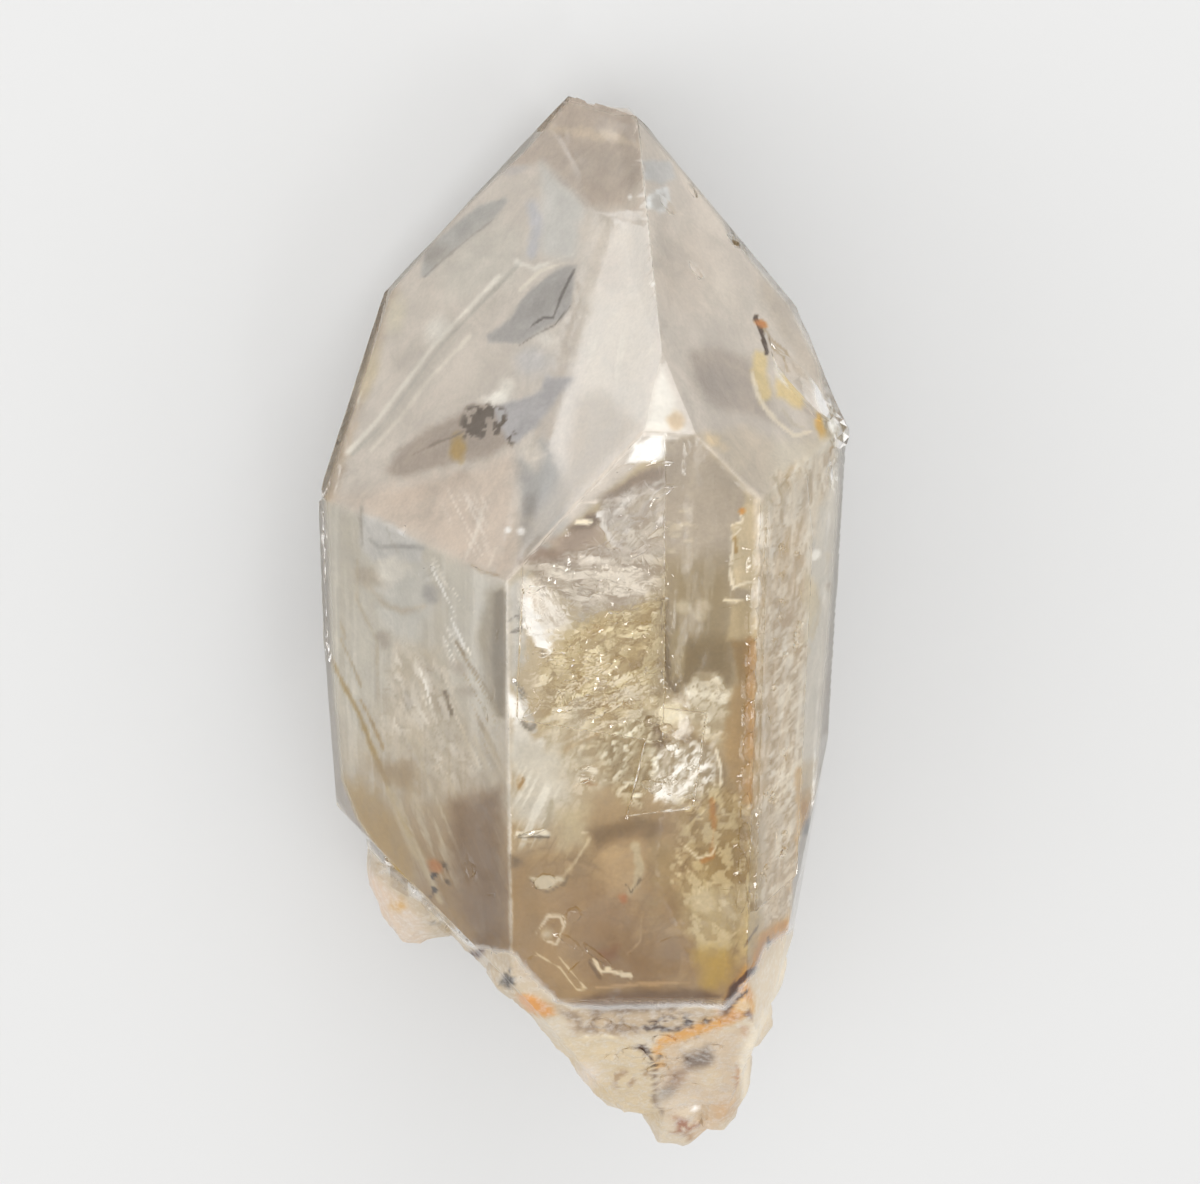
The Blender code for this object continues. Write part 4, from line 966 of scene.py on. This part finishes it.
class Finish:
    """A material's node tree, with short calls for the nodes that the finishes use."""

    def __init__(self, name):
        self.material = bpy.data.materials.new(name)
        self.material.use_nodes = True
        self.tree = self.material.node_tree
        self.tree.nodes.clear()
        self.out = self.tree.nodes.new("ShaderNodeOutputMaterial")
        self.place = self.tree.nodes.new("ShaderNodeTexCoord").outputs["Object"]

    def node(self, kind, inputs=None, **settings):
        """Add a node, set its properties, and set or link its inputs."""
        made = self.tree.nodes.new(kind)
        for key, value in settings.items():
            setattr(made, key, value)
        for key, value in (inputs or {}).items():
            self.plug(value, made.inputs[key])
        return made

    def plug(self, value, socket):
        """Link an output into a socket, or set the socket's own value."""
        if isinstance(value, bpy.types.NodeSocket):
            self.tree.links.new(value, socket)
        elif isinstance(value, tuple) and len(value) == 3 and socket.type == "RGBA":
            socket.default_value = (*value, 1.0)
        else:
            socket.default_value = value

    def principled(self, **inputs):
        """Add the main shader. Underscores in the names stand for spaces."""
        named = {key.replace("_", " "): value for key, value in inputs.items()}
        return self.node("ShaderNodeBsdfPrincipled", named)

    def noise(self, scale, detail=3.0, rough=0.5, distort=0.0, place=None):
        """Smooth noise, in waves a metre."""
        made = self.node("ShaderNodeTexNoise", {
            "Vector": place or self.place, "Scale": scale, "Detail": detail,
            "Roughness": rough, "Distortion": distort})
        return made.outputs["Fac"]

    def ramp(self, value, low, high, start=0.0, end=1.0):
        """Carry a value from the range low to high onto start to end, clamped."""
        made = self.node("ShaderNodeMapRange", {
            "Value": value, "From Min": low, "From Max": high,
            "To Min": start, "To Max": end}, interpolation_type="SMOOTHSTEP")
        return made.outputs["Result"]

    def sums(self, kind, a, b):
        """A sum, product or other arithmetic of two values."""
        return self.node("ShaderNodeMath", {0: a, 1: b}, operation=kind).outputs[0]

    def grey(self, value):
        """A value as a grey of the same strength."""
        return self.node("ShaderNodeCombineColor", {0: value, 1: value, 2: value}).outputs[0]

    def attribute(self, name):
        """The piece's own attribute."""
        return self.node("ShaderNodeAttribute", attribute_name=name)

    def blend(self, kind, share, a, b):
        """Mix two colours."""
        made = self.node("ShaderNodeMix", data_type="RGBA", blend_type=kind)
        self.plug(share, made.inputs[0])
        self.plug(a, made.inputs[6])
        self.plug(b, made.inputs[7])
        return made.outputs[2]


def quartz_finish():
    """Clear quartz, milky and stained where the skin's attributes say so."""
    quartz = Finish("clear_quartz")
    tint = quartz.attribute("tint").outputs["Color"]
    cover = quartz.attribute("cover").outputs["Fac"]
    fine = quartz.noise(2600.0, 4.0, 0.6)
    milk = quartz.sums("MULTIPLY", cover, quartz.ramp(fine, 0.25, 0.6, 0.72, 1.0))
    shade = quartz.blend("MIX", milk, (0.965, 0.95, 0.925), tint)
    clear = quartz.sums("SUBTRACT", 1.0, milk)
    rough = quartz.ramp(milk, 0.0, 1.0, 0.03, 0.42)
    shader = quartz.principled(Base_Color=shade, Roughness=rough,
                               Transmission_Weight=clear)
    shader.inputs["IOR"].default_value = QUARTZ_IOR
    swell = quartz.node("ShaderNodeBump", {"Height": quartz.noise(1500.0, 4.0, 0.6),
                                           "Strength": 0.12, "Distance": 0.00005})
    quartz.plug(swell.outputs[0], shader.inputs["Normal"])
    through = quartz.node("ShaderNodeBsdfTransparent", {"Color": (0.96, 0.95, 0.935)})
    path = quartz.node("ShaderNodeLightPath")
    mix = quartz.node("ShaderNodeMixShader", {
        0: path.outputs["Is Shadow Ray"], 1: shader.outputs[0], 2: through.outputs[0]})
    quartz.plug(mix.outputs[0], quartz.out.inputs["Surface"])
    return quartz.material


def cloud_finish():
    """The milky veils inside the quartz: thin, matt, and more or less see-through."""
    veil = Finish("milky_veil")
    tint = veil.attribute("tint").outputs["Color"]
    cover = veil.attribute("cover").outputs["Fac"]
    soft = veil.noise(420.0, 5.0, 0.6, 0.4)
    fine = veil.noise(5200.0, 3.0, 0.65)
    tint = veil.blend("MULTIPLY", 1.0, tint, veil.grey(veil.ramp(soft, 0.25, 0.75, 0.9, 1.1)))
    tint = veil.blend("MULTIPLY", 1.0, tint, veil.grey(veil.ramp(fine, 0.2, 0.8, 0.93, 1.07)))
    share = veil.sums("MULTIPLY", cover, veil.ramp(soft, 0.3, 0.7, 0.92, 1.06))
    shader = veil.principled(Base_Color=tint, Roughness=0.7, Alpha=share)
    shader.inputs["Specular IOR Level"].default_value = 0.0
    veil.plug(shader.outputs[0], veil.out.inputs["Surface"])
    return veil.material


def relief(points, normals):
    """How far each point of the skin stands out along its normal, in millimetres."""
    pixels = to_pixel(points)
    u, v = pixels[:, 0], pixels[:, 1]
    facing = ease(((CAMERA_AT - points) * normals).sum(1) / 190.0, 0.05, 0.25)
    art = Canvas(u, v, (0, 0, 0), 0.0)
    tall = np.zeros(len(points))
    root = ease(points[:, 1], -15.5, -19.0)
    tall += root * 0.16 * ripple(points / 1.1, 5, 4)
    tall += 0.006 * ripple(points / 3.0, 6, 2)
    bands = np.stack([u / 34.0, v / 6.5], -1) + 0.4 * art.wander[:, None]
    crack = 1.0 - np.abs(ripple(bands, 11, 3)) * 2.2
    zone = art.patch([(520, 590), (600, 505), (664, 450), (664, 705), (600, 730),
                      (520, 700)], 10, 6)
    tall += facing * zone * 0.09 * np.clip(crack, -1, 1)
    return tall


def make_skin(source):
    """The crystal's outside: the solid's own mesh, split fine and given its relief.

    Long edges are halved and turned until each face's triangles are about as small
    as its relief needs. Each point then moves along its normal by the relief.
    """
    bm = bmesh.new()
    bm.from_mesh(source.data)
    bmesh.ops.remove_doubles(bm, verts=bm.verts[:], dist=2e-6)
    bmesh.ops.dissolve_degenerate(bm, dist=8e-6, edges=bm.edges[:])
    bmesh.ops.dissolve_limit(bm, angle_limit=math.radians(0.6), verts=bm.verts[:],
                             edges=bm.edges[:])
    bmesh.ops.triangulate(bm, faces=bm.faces[:])
    for _ in range(7):
        ends = np.array([(*edge.verts[0].co, *edge.verts[1].co) for edge in bm.edges]) / MM
        long = np.linalg.norm(ends[:, :3] - ends[:, 3:], axis=1)
        too_long = long > 1.42 * skin_step((ends[:, :3] + ends[:, 3:]) / 2)
        chosen = [edge for edge, split in zip(bm.edges[:], too_long) if split]
        if not chosen:
            break
        bmesh.ops.subdivide_edges(bm, edges=chosen, cuts=1)
        bmesh.ops.triangulate(bm, faces=[face for face in bm.faces if len(face.verts) > 3])
        level = [edge for edge in bm.edges
                 if edge.is_manifold and edge.calc_face_angle(0.0) < math.radians(1.0)]
        bmesh.ops.beautify_fill(bm, faces=bm.faces[:], edges=level, method="ANGLE")
        bmesh.ops.dissolve_degenerate(bm, dist=4e-6, edges=bm.edges[:])
        bmesh.ops.triangulate(bm, faces=[face for face in bm.faces if len(face.verts) > 3])
    bm.normal_update()
    bm.verts.index_update()
    points = np.array([vert.co[:] for vert in bm.verts]) / MM
    normals = np.array([vert.normal[:] for vert in bm.verts])
    faces = np.array([[vert.index for vert in face.verts] for face in bm.faces])
    ways = np.array([face.normal[:] for face in bm.faces])
    bm.free()
    crown = np.zeros((len(points), 3))
    for corner in range(3):
        np.add.at(crown, faces[:, corner], ways)
    share = np.bincount(faces.ravel(), minlength=len(points))
    sharp = np.clip(1.0 - np.linalg.norm(crown, axis=1) / share, 0.0, 0.3)
    worn = sharp * (0.3 + 0.25 * ripple(points / 1.4, 14, 3))
    points = points + normals * (relief(points, normals) - worn)[:, None]
    low, high = np.array(cad_box[0]) / MM, np.array(cad_box[1]) / MM
    points = np.clip(points, low, high)
    points[:, 2] = np.maximum(points[:, 2], 0.03 + 0.03 * ripple(points[:, :2] / 2.0, 8, 2))
    colour, cover = paint_skin(points)
    skin = add_piece("quartz_skin", points, faces, quartz_finish(), colour, cover, False)
    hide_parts("crystal")
    return skin


def skin_step(points):
    """How long the skin's edges may be at each point, in millimetres."""
    pixels = to_pixel(points)
    step = np.full(len(points), 0.8)
    step = np.where(points[:, 1] < 12.0, 0.55, step)
    step = np.where((points[:, 2] > 13.0) & (points[:, 1] < 9.0), 0.34, step)
    step = np.where((points[:, 2] > 22.5) & (points[:, 1] < 9.0), 0.22, step)
    step = np.where(points[:, 1] < -16.0, 0.34, step)
    return step


def paint_skin(points):
    """The skin's own milk and stains, on the broken root and nowhere else."""
    pixels = to_pixel(points)
    art = Canvas(pixels[:, 0], pixels[:, 1], (200, 182, 152), 0.0)
    below = art.patch([(300, 760), (334, 792), (348, 824), (402, 882), (470, 944),
                       (512, 953), (556, 1002), (600, 1009), (700, 1004), (724, 1010),
                       (750, 975), (764, 945), (800, 924), (900, 920), (900, 1200),
                       (300, 1200)], 4, 1.5)
    root = np.maximum(below, ease(points[:, 1], -17.5, -21.0))
    art.lay(root, (190, 170, 134), 0.8)
    lay_marks(art, ROOT_MARKS)
    return art.colour, art.cover * root


# The crystal's outline in the photograph, left and right, from the tip downwards.
LEFT_SIDE = np.array([(96, 566), (150, 520), (215, 450), (292, 384), (496, 319), (560, 323),
                      (700, 328), (780, 332), (820, 347), (870, 380), (948, 470),
                      (1003, 556), (1012, 600)])
RIGHT_SIDE = np.array([(96, 570), (106, 632), (139, 661), (195, 710), (258, 755),
                       (305, 795), (361, 823), (400, 832), (430, 844), (500, 844),
                       (700, 829), (790, 821), (860, 799), (930, 796), (985, 758),
                       (1012, 725)])


def make_clouds():
    """The veils under the near faces, on a grid between the crystal's two outlines.

    Rows run down the crystal and columns from its left outline to its right. Each
    point lies where the camera sees it through the quartz, a set depth under its face.
    """
    rows, columns = 400, 246
    down, side = np.meshgrid(np.linspace(0, 1, rows), np.linspace(0, 1, columns),
                             indexing="ij")
    v = 99 + (1008 - 99) * down
    left = np.interp(v, LEFT_SIDE[:, 0], LEFT_SIDE[:, 1]) + 3
    right = np.interp(v, RIGHT_SIDE[:, 0], RIGHT_SIDE[:, 1]) - 3
    u = left + (right - left) * side
    colour, cover = paint_quartz(u, v)
    near_faces = ("left", "front", "right", "back_right", "tip_left", "tip_front",
                  "tip_right", "tip_back_right")
    inset = np.minimum(np.minimum(u - left, right - u) / 8.0, (1008 - v) / 12.0)
    depth = 0.75 + 0.18 * ripple(np.stack([u, v], -1) / 90.0, 21, 3)
    points = beneath(u, v, depth, near_faces)
    cover = cover * ease(inset, 0.0, 1.0)
    add_piece("inner_clouds", points.reshape(-1, 3), grid_faces(rows, columns)[:, ::-1],
              cloud_finish(), colour, cover)


def make_camera():
    """Set up the photograph's camera."""
    data = bpy.data.cameras.new("camera")
    data.lens = CAMERA_LENS
    data.sensor_width = CAMERA_FILM
    data.sensor_fit = "HORIZONTAL"
    data.clip_start = 0.005
    data.clip_end = 10.0
    camera = bpy.data.objects.new("camera", data)
    camera.location = Vector(CAMERA_AT) * MM
    camera.rotation_euler = [math.radians(turn) for turn in CAMERA_TURN]
    bpy.context.scene.collection.objects.link(camera)
    bpy.context.scene.camera = camera


def make_floor():
    """Lay the plain pale floor."""
    mesh = bpy.data.meshes.new("floor")
    mesh.from_pydata([(-1.5, -1.5, 0), (1.5, -1.5, 0), (1.5, 1.5, 0), (-1.5, 1.5, 0)],
                     [], [(0, 1, 2, 3)])
    floor = bpy.data.objects.new("floor", mesh)
    bpy.context.scene.collection.objects.link(floor)
    paint = Finish("pale_floor")
    shader = paint.principled(Base_Color=(0.60, 0.60, 0.597), Roughness=0.9)
    shader.inputs["Specular IOR Level"].default_value = 0.2
    paint.plug(shader.outputs[0], paint.out.inputs["Surface"])
    mesh.materials.append(paint.material)


def add_softbox(name, place, aim, size, power):
    """Hang one soft area light, in millimetres, aimed at a point."""
    data = bpy.data.lights.new(name, "AREA")
    data.shape = "RECTANGLE"
    data.size, data.size_y = size[0] * MM, size[1] * MM
    data.energy = power
    light = bpy.data.objects.new(name, data)
    light.location = Vector(place) * MM
    towards = (Vector(aim) - Vector(place)).normalized()
    light.rotation_euler = towards.to_track_quat("-Z", "Y").to_euler()
    bpy.context.scene.collection.objects.link(light)


def make_light():
    """Soft studio light: a pale room and three softboxes."""
    world = bpy.data.worlds.new("studio")
    world.use_nodes = True
    tree = world.node_tree
    back = tree.nodes["Background"]
    back.inputs["Strength"].default_value = 1.22
    where = tree.nodes.new("ShaderNodeTexCoord")
    split = tree.nodes.new("ShaderNodeSeparateXYZ")
    rise = tree.nodes.new("ShaderNodeMapRange")
    tree.links.new(where.outputs["Generated"], split.inputs[0])
    tree.links.new(split.outputs["Z"], rise.inputs["Value"])
    for name, value in (("From Min", -0.1), ("From Max", 1.0), ("To Min", 0.75),
                        ("To Max", 1.0)):
        rise.inputs[name].default_value = value
    tree.links.new(rise.outputs["Result"], back.inputs["Color"])
    bpy.context.scene.world = world
    add_softbox("softbox_tip", (60, 420, 260), (0, 0, 12), (320, 220), 0.55)
    add_softbox("softbox_left", (-380, -60, 330), (0, 0, 12), (300, 300), 0.34)
    add_softbox("softbox_right", (360, -120, 420), (0, 0, 12), (240, 240), 0.18)
    add_softbox("glint_high", (-60, 190, 420), (0, 0, 12), (50, 50), 0.12)
    add_softbox("glint_low", (150, -170, 380), (0, 0, 12), (40, 40), 0.08)


make_camera()
make_floor()
make_light()
make_skin(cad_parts["crystal"])
make_clouds()

scene = bpy.context.scene
scene.view_settings.view_transform = "Standard"
scene.cycles.max_bounces = 16
scene.cycles.transmission_bounces = 16
scene.cycles.transparent_max_bounces = 32
scene.cycles.diffuse_bounces = 3
scene.cycles.glossy_bounces = 6
scene.cycles.use_denoising = True
